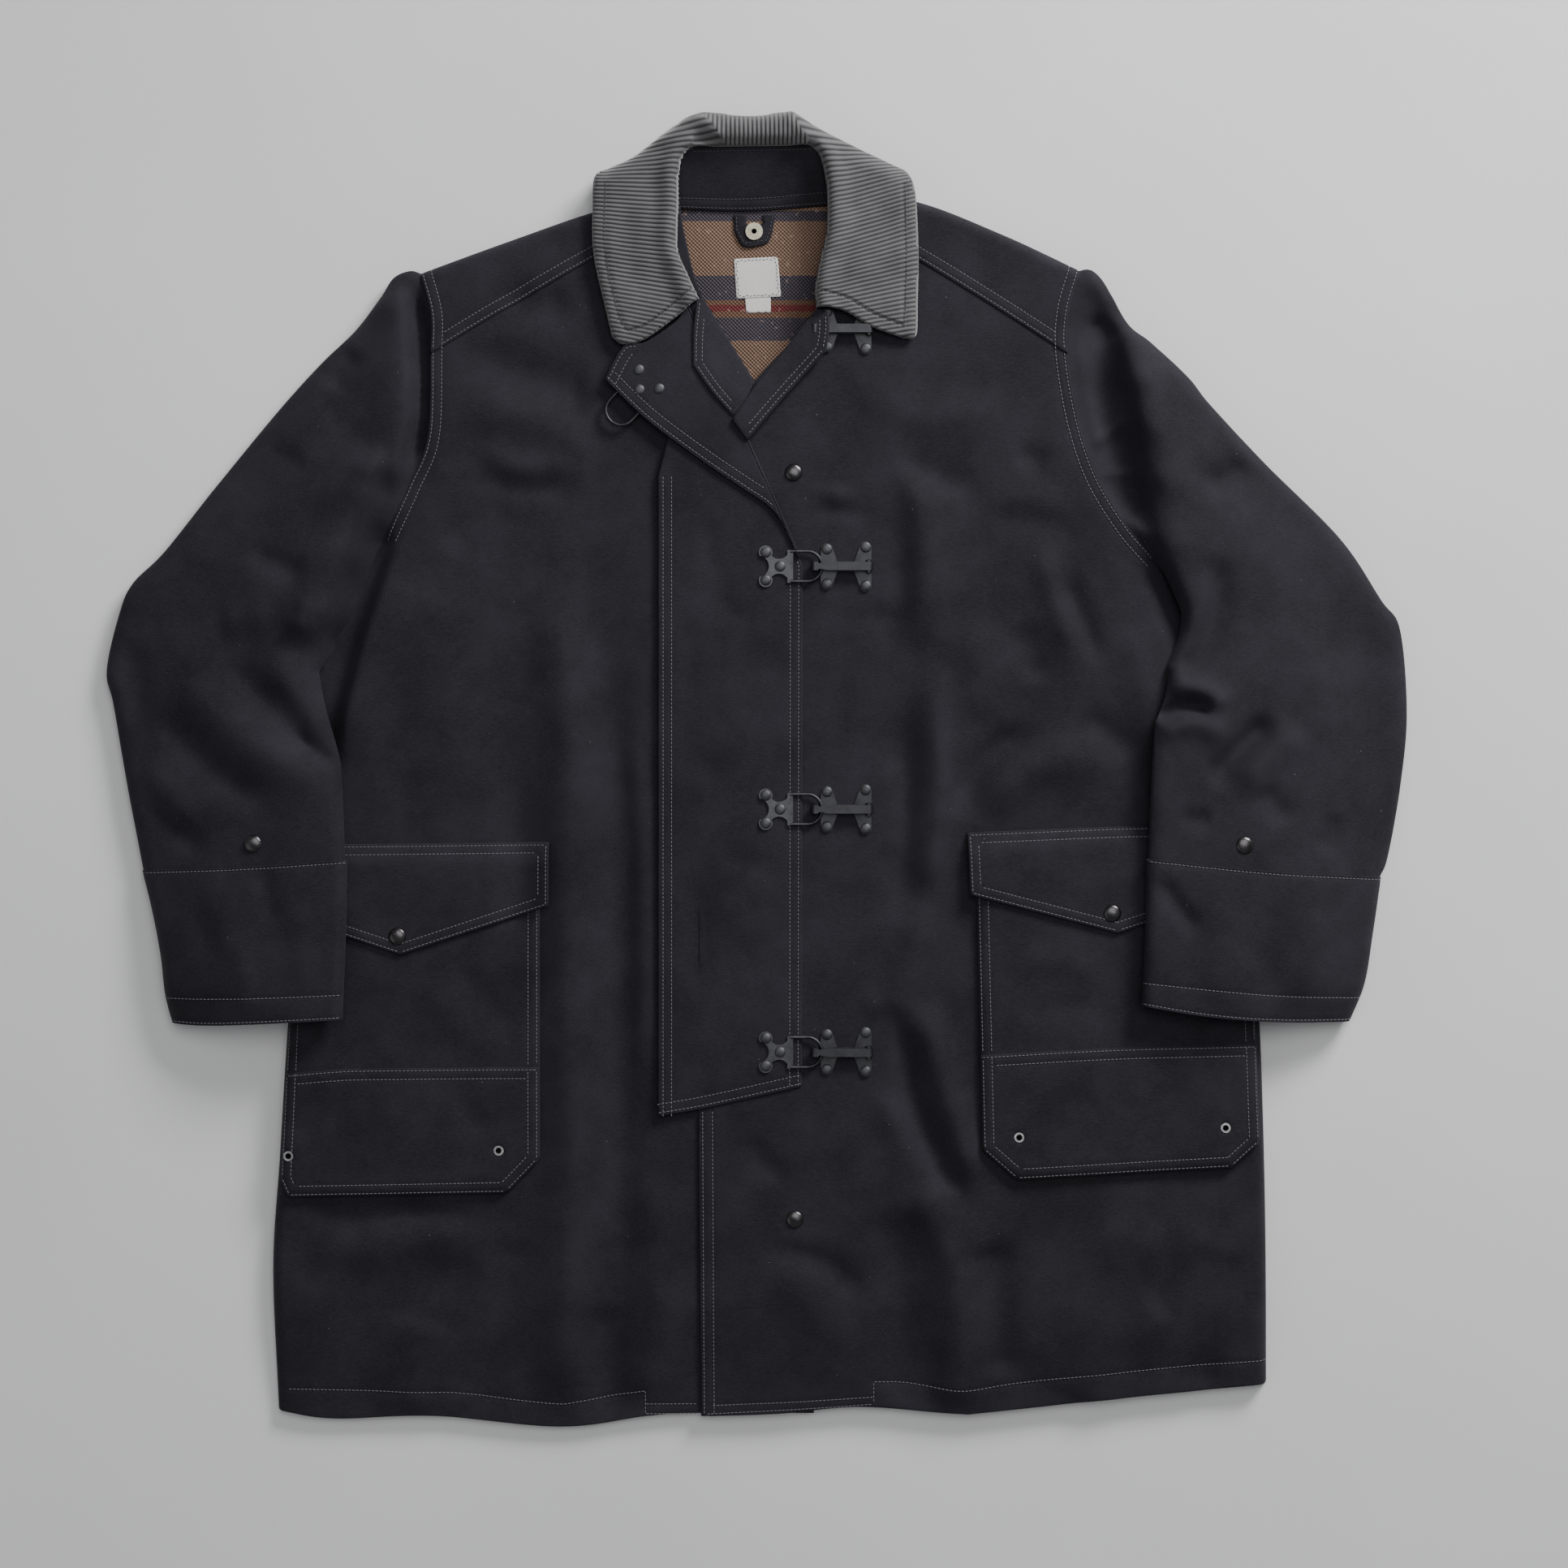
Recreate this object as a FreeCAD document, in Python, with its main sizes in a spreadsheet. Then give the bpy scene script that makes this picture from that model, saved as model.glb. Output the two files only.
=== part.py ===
import FreeCAD, Part
import Sketcher
import math
import os

from FreeCAD import Placement, Rotation, Vector

# A turnout coat lying on its back, ready to be picked up: +Z is up, +Y runs towards the collar and +X
# towards the wearer's left. Millimetres, at the real size of a 35-inch coat. Cloth lies in flat layers,
# the fronts are shallow trays over the back panel, and the metal clasps sit on the layers they grip.

doc = FreeCAD.newDocument("TurnoutCoat")

# ---------------------------------------------------------------- driving dimensions

SIZES = {
    # cloth
    "cloth": 1.2,
    "lining": 2.0,
    "lining_margin": 8.0,
    "seam_wall": 1.2,
    # heights of the layers above the floor, underside of each
    "right_front_level": 12.0,
    "left_front_level": 15.0,
    "storm_flap_level": 17.0,
    "corner_level": 19.7,
    "fold_level": 18.95,
    "right_lining_level": 9.2,
    "left_lining_level": 12.2,
    "collar_level": 21.2,
    "collar_thickness": 3.0,
    "collar_roll_top": 30.0,
    "hanger_level": 3.9,
    "stand_width": 100.0,
    "forearm_level": 25.8,
    "sleeve_depth": 13.0,
    "sleeve_snap_dip": 4.2,
    # pockets
    "pocket_depth": 4.8,
    "snap_gap": 1.8,
    "flap_foot": 4.0,
    # neck tabs
    "label_thickness": 0.5,
    # rivets
    "rivet_head_radius": 4.0,
    "rivet_head_height": 1.6,
    "shank_radius": 1.6,
    "burr_radius": 3.6,
    "burr_thickness": 0.6,
    # snap fasteners
    "snap_cap_radius": 6.35,
    "snap_cap_height": 2.4,
    "snap_socket_radius": 5.0,
    "snap_socket_bore": 1.95,
    "snap_socket_height": 1.1,
    "snap_stud_radius": 1.8,
    "snap_stud_height": 1.6,
    "snap_flange_radius": 4.5,
    "snap_flange_height": 0.5,
    # eyelets
    "eyelet_radius": 3.65,
    "eyelet_bore": 2.2,
    "eyelet_barrel": 2.7,
    "eyelet_lip": 0.5,
    # clasps
    "dee_plate_thickness": 1.4,
    "dee_wire_radius": 1.1,
    "dee_bend_radius": 11.0,
    "dee_straight": 19.8,
    "hook_base_thickness": 1.2,
    "hook_lug_thickness": 1.2,
    "hook_pin_radius": 1.0,
    "hook_bore_radius": 1.06,
    "hook_pin_rise": 5.0,
    "hook_hub_radius": 2.6,
    "hook_lever_width": 6.2,
    "hook_spring_width": 4.0,
    "hook_taper_depth": 10.0,
}

sheet = doc.addObject("Spreadsheet::Sheet", "Sizes")
for row, (alias, value) in enumerate(SIZES.items(), start=1):
    sheet.set("A%d" % row, alias)
    sheet.set("B%d" % row, str(value))
    sheet.setAlias("B%d" % row, alias)
doc.recompute()


def size(alias):
    return float(getattr(sheet, alias))


# Height of each layer's top and of what is stacked on it, as spreadsheet formulas.
RIGHT_TOP = "(Sizes.right_front_level + Sizes.cloth)"
LEFT_TOP = "(Sizes.left_front_level + Sizes.cloth)"
STORM_TOP = "(Sizes.storm_flap_level + Sizes.cloth)"
LINING_TOP = "(Sizes.cloth + Sizes.lining)"
POCKET_RISE = "Sizes.pocket_depth + Sizes.cloth"

# ---------------------------------------------------------------- outlines, seen from above

RIGHT_SHOULDER = [(-58, 425), (-118, 412), (-248, 366)]
RIGHT_UNDERARM = (-272, 170)
RIGHT_SIDE = [(-285, 128), (-310, 95), (-322, 59), (-315, 42), (-314, 32), (-327, 26), (-334, -31), (-346, -186),
              (-352, -283), (-357, -367), (-353, -472)]
RIGHT_HEM = [(-312, -478), (-239, -476), (-145, -484), (-80, -476), (-42, -474)]
RIGHT_NECK = [(-2, 285), (-39, 346), (-52, 389)]
OVERLAP_EDGE = 42

LEFT_SHOULDER = [(58, 425), (117, 419), (238, 368)]
LEFT_UNDERARM = (292, 155)
LEFT_SIDE = [(310, 120), (305, 98), (318, 92), (334, 59), (350, -1), (364, -91), (371, -187), (375, -319),
             (376, -445)]
LEFT_HEM = [(374, -453), (272, -462), (170, -474), (76, -469), (16, -474)]
LEFT_FREE_EDGE = [(-41, -476), (-42, 149), (-33, 209)]
LEFT_NECK = [(-2, 285), (44, 338), (51, 378)]

# Clasps stand in one column: three down the chest and the fourth at the throat.
CLASP_HEIGHTS = {1: 149.0, 2: -29.0, 3: -207.0, 4: 323.0}
HOOK_COLUMN = 65.7
DEE_COLUMN = 17.1
THROAT = 4
FRONT_SNAPS = [(27, 218), (28, -330)]
POCKET_SNAPS = {"right": (-263, -122), "left": (260, -105)}
SLEEVE_SNAPS = [(-366, -54), (355, -55)]
EYELETS = {"right": [(-343, -283), (-189, -279)], "left": [(192, -269), (343, -262)]}

# Rivet places on one dee plate and one hook base, from that piece's own middle.
DEE_RIVETS = [(-10.5, 10.2), (-10.5, -10.2), (0, 0)]
HOOK_RIVETS = [(-14.2, 12.8), (-14.2, -12.8), (14.2, 14.2), (14.2, -14.2)]
HOOK_PIN_X = 16.8

# The storm flap's top corner turns out about this line, seen from above.
FOLD_FOOT = Vector(28, 157, 0)
FOLD_HEAD = Vector(-52, 341, 0)
# Edge of the storm flap beside the throat facing, shared by the sewn part and the turned-out corner.
THROAT_EDGE = [(-25, 262), (-49, 295), (-52, 333), (-58, 329)]


class Bend:
    """A round stretch of an outline: passes through via and ends at end."""

    def __init__(self, via, end):
        self.via = via
        self.end = end


def end_of(step):
    return step.end if isinstance(step, Bend) else step


def offset_side(path, distance):
    """Points to the left of an open path, at the given distance, with mitred corners."""
    result = []
    for index, point in enumerate(path):
        before = path[max(index - 1, 0)]
        after = path[min(index + 1, len(path) - 1)]
        directions = []
        for start, finish in ((before, point), (point, after)):
            length = math.dist(start, finish)
            if length:
                directions.append(((finish[0] - start[0]) / length, (finish[1] - start[1]) / length))
        along_x = sum(d[0] for d in directions) / len(directions)
        along_y = sum(d[1] for d in directions) / len(directions)
        scale = distance / (along_x ** 2 + along_y ** 2)
        result.append((point[0] - along_y * scale, point[1] + along_x * scale))
    return result


def ribbon(path, width):
    """Closed outline of a strip of the given width on the left of an open path."""
    return list(path) + offset_side(path, width)[::-1]


def inset(outline, distance):
    """A closed counter-clockwise outline, moved inwards."""
    wrapped = [outline[-1]] + list(outline) + [outline[0]]
    return offset_side(wrapped, distance)[1:-1]


# ---------------------------------------------------------------- PartDesign helpers


def new_body(label):
    body = doc.addObject("PartDesign::Body", label)
    body.Label = label
    return body


def sketch_on(body, name, role, level="0"):
    """A sketch on one of the body's origin planes, raised by a spreadsheet formula."""
    sketch = body.newObject("Sketcher::SketchObject", body.Label + "_" + name)
    plane = next(f for f in body.Origin.OriginFeatures if f.Role == role)
    sketch.AttachmentSupport = [(plane, "")]
    sketch.MapMode = "FlatFace"
    sketch.setExpression("AttachmentOffset.Base.z", level)
    return sketch


def nearer_end(sketch, edge, point):
    """Which end of a sketch edge lies at a corner: 1 is its start, 2 its finish."""
    start = sketch.getPoint(edge, 1)
    finish = sketch.getPoint(edge, 2)
    corner = Vector(point[0], point[1], 0)
    return 1 if start.distanceToPoint(corner) < finish.distanceToPoint(corner) else 2


def trace(sketch, outline):
    """Draw a closed outline of straight and round stretches, joined at every corner."""
    corners = [end_of(step) for step in outline]
    edges = []
    for index, step in enumerate(outline):
        start = Vector(*corners[index - 1], 0)
        finish = Vector(*corners[index], 0)
        if isinstance(step, Bend):
            curve = Part.Arc(start, Vector(*step.via, 0), finish)
        else:
            curve = Part.LineSegment(start, finish)
        edges.append(sketch.addGeometry(curve))
    for index, corner in enumerate(corners):
        first = edges[index]
        second = edges[(index + 1) % len(edges)]
        sketch.addConstraint(Sketcher.Constraint(
            "Coincident", first, nearer_end(sketch, first, corner),
            second, nearer_end(sketch, second, corner)))


def drill(sketch, spots, radius="shank_radius"):
    """Round holes of one size, bound to the sheet."""
    for x, y in spots:
        hole = sketch.addGeometry(Part.Circle(Vector(x, y, 0), Vector(0, 0, 1), size(radius)))
        constraint = sketch.addConstraint(Sketcher.Constraint("Radius", hole, size(radius)))
        sketch.setExpression("Constraints[%d]" % constraint, "Sizes." + radius)


def pad(body, name, outline, level, length, holes=(), hole_radius="shank_radius", role="XY_Plane",
        midplane=False):
    """Pad an outline upwards from a level, with any holes left in it."""
    sketch = sketch_on(body, name + "_sketch", role, level)
    trace(sketch, outline)
    drill(sketch, holes, hole_radius)
    raise_sketch(body, name, sketch, length, midplane)


def raise_sketch(body, name, sketch, length, midplane=False):
    """Pad a finished sketch to a length."""
    feature = body.newObject("PartDesign::Pad", body.Label + "_" + name)
    feature.Profile = sketch
    feature.Midplane = midplane
    feature.setExpression("Length", length)
    sketch.Visibility = False


def flat_piece(label, outline, level, thickness="Sizes.cloth", holes=(), hole_radius="shank_radius"):
    """One flat layer of cloth."""
    body = new_body(label)
    pad(body, "layer", outline, level, thickness, holes, hole_radius)
    return body


# ---------------------------------------------------------------- torso


def around_clasps(spots, column, numbers):
    return [(column + x, CLASP_HEIGHTS[n] + y) for n in numbers for x, y in spots]


def back_outline():
    neck = Bend((0, 408), RIGHT_SHOULDER[0])
    right = RIGHT_SHOULDER[1:] + [RIGHT_UNDERARM] + RIGHT_SIDE + RIGHT_HEM
    left = LEFT_HEM[::-1] + LEFT_SIDE[::-1] + [LEFT_UNDERARM] + LEFT_SHOULDER[::-1]
    return [neck] + right + left


def back_panel():
    flat_piece("back_panel", back_outline(), "0")
    lining = inset([end_of(step) for step in back_outline()], size("lining_margin"))
    lining[0] = Bend((0, 400), lining[0])
    flat_piece("back_lining", lining, "Sizes.cloth", "Sizes.lining")


def front_panel(label, outline, edges, level, holes):
    """A front: a flat layer with walls down to the back panel along the shoulder and side seams."""
    body = flat_piece(label, outline, level, holes=holes)
    for name, edge in edges.items():
        pad(body, name, ribbon(edge, size("seam_wall")), "Sizes.cloth", level + " - Sizes.cloth")


def right_front():
    free_edge = [(OVERLAP_EDGE, -472), (OVERLAP_EDGE, 233)]
    outline = (RIGHT_SHOULDER + [RIGHT_UNDERARM] + RIGHT_SIDE + RIGHT_HEM + free_edge + RIGHT_NECK)
    edges = {"shoulder_seam": RIGHT_SHOULDER, "side_seam": [RIGHT_UNDERARM] + RIGHT_SIDE}
    front_panel("right_front_panel", outline, edges, "Sizes.right_front_level", FRONT_SNAPS)
    lining = inset(outline, size("lining_margin"))
    flat_piece("right_front_lining", lining, "Sizes.right_lining_level", "Sizes.lining")


def left_front():
    outline = (LEFT_SHOULDER + [LEFT_UNDERARM] + LEFT_SIDE + LEFT_HEM + LEFT_FREE_EDGE + LEFT_NECK)
    outline = outline[::-1]
    side = ([LEFT_UNDERARM] + LEFT_SIDE)[::-1]
    edges = {"shoulder_seam": LEFT_SHOULDER[::-1], "side_seam": side}
    holes = around_clasps(HOOK_RIVETS, HOOK_COLUMN, CLASP_HEIGHTS) + FRONT_SNAPS
    front_panel("left_front_panel", outline, edges, "Sizes.left_front_level", holes)
    margin = size("lining_margin")
    beside_overlap = [(OVERLAP_EDGE + 2, -458), (364, -440)]
    up_the_side = [(363, -319), (359, -187), (352, -91), (338, -1), (322, 51), (298, 88), (280, 155)]
    across_the_chest = [(228, 368 - margin), (117, 410), (62, 414), (54, 330), (OVERLAP_EDGE + 2, 318)]
    flat_piece("left_front_lining", beside_overlap + up_the_side + across_the_chest,
               "Sizes.left_lining_level", "Sizes.lining")


def shoulder_yokes():
    right = [(-58, 425), (-118, 412), (-248, 366), (-240, 305), (-118, 376), (-62, 392)]
    left = [(58, 425), (62, 395), (118, 374), (228, 305), (238, 368), (117, 419)]
    flat_piece("right_shoulder_yoke", right, RIGHT_TOP)
    flat_piece("left_shoulder_yoke", left, LEFT_TOP)


def storm_flap():
    """The flap over the front opening, sewn down its outer side, with its top corner turned out."""
    outline = [(33, 155), (-15, 252)] + THROAT_EDGE + [(-60, 262), (-72, 215), (-72, -254), (-35, -248),
                                                       (32, -232)]
    holes = around_clasps(DEE_RIVETS, DEE_COLUMN, [n for n in CLASP_HEIGHTS if n != THROAT])
    flap = flat_piece("storm_flap", outline, "Sizes.storm_flap_level", holes=holes)
    foot = [(-72, 215), (-72, -250), (-63, -249), (-63, 215)]
    pad(flap, "foot", foot, RIGHT_TOP, "Sizes.storm_flap_level - " + RIGHT_TOP)

    corner = [(3, 200), (6, 205), (-17, 252)] + THROAT_EDGE + [(-81, 312), (-96, 309), (-111, 286)]
    places = [throat_dee_placement(0).multVec(Vector(x, y, 0)) for x, y in DEE_RIVETS]
    flat_piece("storm_flap_corner", corner, "Sizes.corner_level", holes=[(p.x, p.y) for p in places])


def throat_facings():
    right = [(-43, 345), (-46, 296), (-20, 259), (-2, 286), (-39, 345)]
    left = [(0, 282), (-11, 263), (-3, 245), (46, 302), (38, 317), (38, 329), (43, 336)]
    flat_piece("right_throat_facing", right, RIGHT_TOP)
    flat_piece("left_throat_facing", left, LEFT_TOP, "2 * Sizes.cloth")


# ---------------------------------------------------------------- neck


def collar():
    """The corduroy fall: two wings joined behind the neck, with a thick roll round the neckline."""
    roll_right = [(-40, 348), (-50, 367), (-58, 388), (-56, 440), (-48, 459)]
    roll_left = [(46, 459), (52, 440), (52, 410), (50, 378), (44, 346)]
    wing_left = [(44, 338), (63, 337), (86, 330), (107, 317), Bend((114, 314), (117, 320)), (118, 382),
                 (116, 424), Bend((114, 438), (96, 447)), (52, 468), Bend((42, 481), (27, 484))]
    wing_right = [(-42, 484), Bend((-56, 480), (-63, 472)), (-90, 452), Bend((-118, 441), (-120, 413)),
                  (-120, 378), (-111, 338), (-106, 317), Bend((-103, 311), (-98, 312)), (-82, 315),
                  (-59, 332)]
    body = flat_piece("collar", roll_right + roll_left + wing_left + wing_right, "Sizes.collar_level",
                      "Sizes.collar_thickness")
    back = [(-48, 459), (-60, 468), (-42, 484), (27, 484), (50, 468), (46, 459)]
    pad(body, "back_of_neck", back, "0", "Sizes.collar_level")
    roll = ribbon(roll_right + roll_left, 9)
    pad(body, "roll", roll, "Sizes.collar_level", "Sizes.collar_roll_top - Sizes.collar_level")


def collar_stand():
    """The cloth stand inside the collar, sloping up from the neck seam to the roll."""
    body = new_body("collar_stand")
    slope = [(411, 3.4), (411, 5.0), (457, 21.0), (457, 1.2), (416, 1.2), (416, 3.4)]
    pad(body, "slope", slope, "0", "Sizes.stand_width", role="YZ_Plane", midplane=True)
    body.Placement = Placement(Vector(-1, 0, 0), Rotation())


def neck_trims():
    hanger = [(-17, 409), (-17, 396), (-8, 385), (9, 393), (14, 409), (3, 409), (4, 404.5), (-7, 404.5),
              (-7, 409)]
    flat_piece("hanger_tab", hanger, "Sizes.hanger_level", holes=[(-2, 397)])
    flat_piece("neck_label", [(-17, 377), (-15, 347), (18, 349), (15, 379)], LINING_TOP,
               "Sizes.label_thickness")
    flat_piece("size_tab", [(-9, 347), (-8, 337), (10, 337), (10, 348)], LINING_TOP,
               "Sizes.label_thickness")


# ---------------------------------------------------------------- sleeves


def sleeve_section(outer, inner, lift, step, depth):
    """One cross-section of a sleeve lying down, as points of an upright plane.

    outer and inner are its two edges seen from above. Past the step, a share of the way from outer
    to inner, the sleeve lies on the body and is raised by lift.
    """
    profile = [(0, 0.35 * depth), (0.05, 0), (step - 0.08, 0), (step, lift), (0.97, lift),
               (1, lift + 0.35 * depth), (1, lift + 0.65 * depth), (0.97, lift + depth),
               (step - 0.2, 0.8 * lift + depth), (0.05, depth), (0, 0.65 * depth)]
    span = math.dist(outer, inner)
    ring = [(share * span, height) for share, height in profile]
    return Vector(*outer, 0), Vector(inner[0] - outer[0], inner[1] - outer[1], 0) / span, ring


def section_wire(section, wall):
    origin, along, ring = section
    points = inset(ring, wall) if wall else ring
    corners = [origin + along * x + Vector(0, 0, z) for x, z in points]
    return Part.makePolygon(corners + corners[:1])


def cloth_tube(label, stations):
    """A hollow tube of cloth through its stations, open at both ends."""
    sections = [sleeve_section(*station) for station in stations]
    outside = Part.makeLoft([section_wire(s, 0) for s in sections], True, True)
    inside = Part.makeLoft([section_wire(s, size("cloth")) for s in sections], True, True)
    tube = doc.addObject("Part::Feature", label)
    tube.Label = label
    tube.Shape = outside.cut(inside)
    tube.Placement = Placement()


def sleeves():
    lift = size("forearm_level")
    depth = size("sleeve_depth")
    right_seam = size("right_front_level") + size("cloth")
    left_seam = size("left_front_level") + size("cloth")
    right = [((-248, 366), (-272, 170), 0, 0.80, right_seam), ((-320, 300), (-285, 128), 0, 0.80, depth),
             ((-398, 209), (-310, 95), 0, 0.82, depth), ((-467, 122), (-322, 59), 0, 0.84, depth),
             ((-479, 78), (-314, 30), lift, 0.86, depth), ((-474, 48), (-304, 5), lift, 0.81, depth),
             ((-452, -74), (-301, -66), lift, 0.72, depth)]
    left = [((238, 368), (292, 155), 0, 0.80, left_seam), ((304, 308), (304, 137), 0, 0.80, depth),
            ((376, 224), (309, 124), 0, 0.82, depth), ((460, 125), (310, 120), 0, 0.84, depth),
            ((474, 100), (303, 88), lift, 0.86, depth), ((479, 41), (290, 35), lift, 0.71, depth),
            ((459, -79), (286, -65), lift, 0.52, depth)]
    cloth_tube("right_sleeve", right)
    cloth_tube("left_sleeve", left)
    cloth_tube("right_cuff", [right[-1], ((-430, -186), (-302, -182), lift, 0.62, depth)])
    cloth_tube("left_cuff", [left[-1], ((436, -185), (282, -172), lift, 0.39, depth)])


# ---------------------------------------------------------------- pockets


def pocket_set(side, outline, reinforcement, flap, front_top):
    """One pocket: its bag with walls, the doubled lower part and the flap over its mouth.

    The outline and the flap start at the mouth's right-hand end and go round clockwise from above.
    """
    bag_level = front_top + " + Sizes.pocket_depth"
    holes = EYELETS[side]
    bag = new_body(side + "_pocket")
    face = sketch_on(bag, "face_sketch", "XY_Plane", bag_level)
    trace(face, outline)
    drill(face, holes, "eyelet_barrel")
    drill(face, [POCKET_SNAPS[side]])
    raise_sketch(bag, "face", face, "Sizes.cloth")
    pad(bag, "walls", ribbon(outline, -size("seam_wall")), front_top, "Sizes.pocket_depth")

    face_top = bag_level + " + Sizes.cloth"
    flat_piece(side + "_pocket_reinforcement", reinforcement, face_top, holes=holes,
               hole_radius="eyelet_barrel")

    cover = flat_piece(side + "_pocket_flap", flap, face_top + " + Sizes.snap_gap",
                       holes=[POCKET_SNAPS[side]])
    start, finish = flap[-1], flap[0]
    drop = size("flap_foot")
    foot = [finish, (finish[0], finish[1] - drop), (start[0], start[1] - drop), start]
    pad(cover, "foot", foot, front_top, POCKET_RISE + " + Sizes.snap_gap")


def pockets():
    pocket_set(
        "right",
        [(-159, -62), (-159, -286), (-183, -311), (-344, -314), (-350, -300), (-339, -62)],
        [(-159, -218), (-159, -286), (-183, -311), (-344, -314), (-350, -300), (-346, -222)],
        [(-152, -53), (-152, -100), (-261, -136), (-336, -111), (-335, -55)],
        RIGHT_TOP)
    pocket_set(
        "left",
        [(362, -62), (369, -273), (348, -292), (190, -301), (165, -279), (160, -62)],
        [(366.8, -201), (369, -273), (348, -292), (190, -301), (165, -279), (163.4, -209)],
        [(358, -42), (360, -88), (264, -120), (156, -92), (154, -46)],
        LEFT_TOP)


# ---------------------------------------------------------------- fasteners


def cylinder(name, radius, height, x, y, level):
    solid = doc.addObject("Part::Cylinder", name)
    solid.setExpression("Radius", "Sizes." + radius)
    solid.setExpression("Height", height)
    solid.Placement = Placement(Vector(x, y, 0), Rotation())
    solid.setExpression("Placement.Base.z", level)
    return solid


def dome(name, radius, height, x, y, level, upwards=True):
    """Half of a flattened ball: the head of a rivet or the cap of a snap."""
    solid = doc.addObject("Part::Ellipsoid", name)
    solid.setExpression("Radius1", "Sizes." + height)
    solid.setExpression("Radius2", "Sizes." + radius)
    solid.setExpression("Radius3", "Sizes." + radius)
    solid.Angle1 = 0 if upwards else -90
    solid.Angle2 = 90 if upwards else 0
    solid.Placement = Placement(Vector(x, y, 0), Rotation())
    solid.setExpression("Placement.Base.z", level)
    return solid


def fused(name, pieces):
    joined = doc.addObject("Part::MultiFuse", name)
    joined.Shapes = pieces
    return joined


def bored(name, solid, hole):
    hollow = doc.addObject("Part::Cut", name)
    hollow.Base = solid
    hollow.Tool = hole
    return hollow


def group(label, pieces):
    """Identical fasteners share one node, each still a solid of its own."""
    together = doc.addObject("Part::Compound", label)
    together.Label = label
    together.Links = pieces
    return together


def rivet(name, x, y, cloth_bottom, plate_top):
    """Domed head on the plate, shank through plate and cloth, burr under the cloth."""
    return fused(name, [
        dome(name + "_head", "rivet_head_radius", "rivet_head_height", x, y, plate_top),
        cylinder(name + "_shank", "shank_radius", plate_top + " - " + cloth_bottom, x, y,
                 cloth_bottom),
        cylinder(name + "_burr", "burr_radius", "Sizes.burr_thickness", x, y,
                 cloth_bottom + " - Sizes.burr_thickness"),
    ])


def rivets():
    below_throat = [n for n in CLASP_HEIGHTS if n != THROAT]
    dee_spots = around_clasps(DEE_RIVETS, DEE_COLUMN, below_throat)
    hook_spots = around_clasps(HOOK_RIVETS, HOOK_COLUMN, CLASP_HEIGHTS)
    dee_top = STORM_TOP + " + Sizes.dee_plate_thickness"
    hook_top = LEFT_TOP + " + Sizes.hook_base_thickness"
    group("dee_rivets", [rivet("dee_rivet_%d" % i, x, y, "Sizes.storm_flap_level", dee_top)
                         for i, (x, y) in enumerate(dee_spots)])
    group("hook_rivets", [rivet("hook_rivet_%d" % i, x, y, "Sizes.left_front_level", hook_top)
                          for i, (x, y) in enumerate(hook_spots)])


def throat_rivets():
    """Rivets of the throat dee, capped on both sides because both sides show."""
    pieces = []
    for index, (x, y) in enumerate(DEE_RIVETS):
        name = "throat_rivet_%d" % index
        pieces.append(fused(name, [
            dome(name + "_head", "rivet_head_radius", "rivet_head_height", x, y,
                 "Sizes.dee_plate_thickness"),
            cylinder(name + "_shank", "shank_radius", "Sizes.dee_plate_thickness + Sizes.cloth",
                     x, y, "-Sizes.cloth"),
            dome(name + "_cap", "rivet_head_radius", "rivet_head_height", x, y, "-Sizes.cloth", False),
        ]))
    together = group("throat_dee_rivets", pieces)
    together.Placement = throat_dee_placement(size("fold_level"))


def snap_cap(name, x, y, cloth_level):
    """Domed cap on the outer cloth, post through it and the spring socket underneath."""
    cap = fused(name + "_solid", [
        dome(name + "_dome", "snap_cap_radius", "snap_cap_height", x, y, cloth_level + " + Sizes.cloth"),
        cylinder(name + "_post", "shank_radius", "Sizes.cloth", x, y, cloth_level),
        cylinder(name + "_socket", "snap_socket_radius", "Sizes.snap_socket_height", x, y,
                 cloth_level + " - Sizes.snap_socket_height"),
    ])
    bore = cylinder(name + "_bore", "snap_socket_bore", "Sizes.snap_socket_height", x, y,
                    cloth_level + " - Sizes.snap_socket_height")
    return bored(name, cap, bore)


def snap_stud(name, x, y, cloth_top):
    """Flanged stud on the inner cloth, with its post and back plate."""
    return fused(name, [
        cylinder(name + "_flange", "snap_flange_radius", "Sizes.snap_flange_height", x, y, cloth_top),
        cylinder(name + "_stud", "snap_stud_radius", "Sizes.snap_stud_height", x, y, cloth_top),
        cylinder(name + "_post", "shank_radius", "Sizes.cloth", x, y, cloth_top + " - Sizes.cloth"),
        cylinder(name + "_back", "snap_flange_radius", "Sizes.snap_flange_height", x, y,
                 cloth_top + " - Sizes.cloth - Sizes.snap_flange_height"),
    ])


def snaps():
    group("front_snap_caps", [snap_cap("front_cap_%d" % i, x, y, "Sizes.left_front_level")
                              for i, (x, y) in enumerate(FRONT_SNAPS)])
    group("front_snap_studs", [snap_stud("front_stud_%d" % i, x, y, RIGHT_TOP)
                               for i, (x, y) in enumerate(FRONT_SNAPS)])
    tops = {"right": RIGHT_TOP, "left": LEFT_TOP}
    caps = []
    studs = []
    for side, (x, y) in POCKET_SNAPS.items():
        face_top = tops[side] + " + " + POCKET_RISE
        caps.append(snap_cap(side + "_pocket_cap", x, y, face_top + " + Sizes.snap_gap"))
        studs.append(snap_stud(side + "_pocket_stud", x, y, face_top))
    group("pocket_snap_caps", caps)
    group("pocket_snap_studs", studs)
    sleeve_top = "Sizes.forearm_level + Sizes.sleeve_depth - Sizes.sleeve_snap_dip"
    group("sleeve_snaps", [snap_cap("sleeve_cap_%d" % i, x, y, sleeve_top)
                           for i, (x, y) in enumerate(SLEEVE_SNAPS)])


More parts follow.
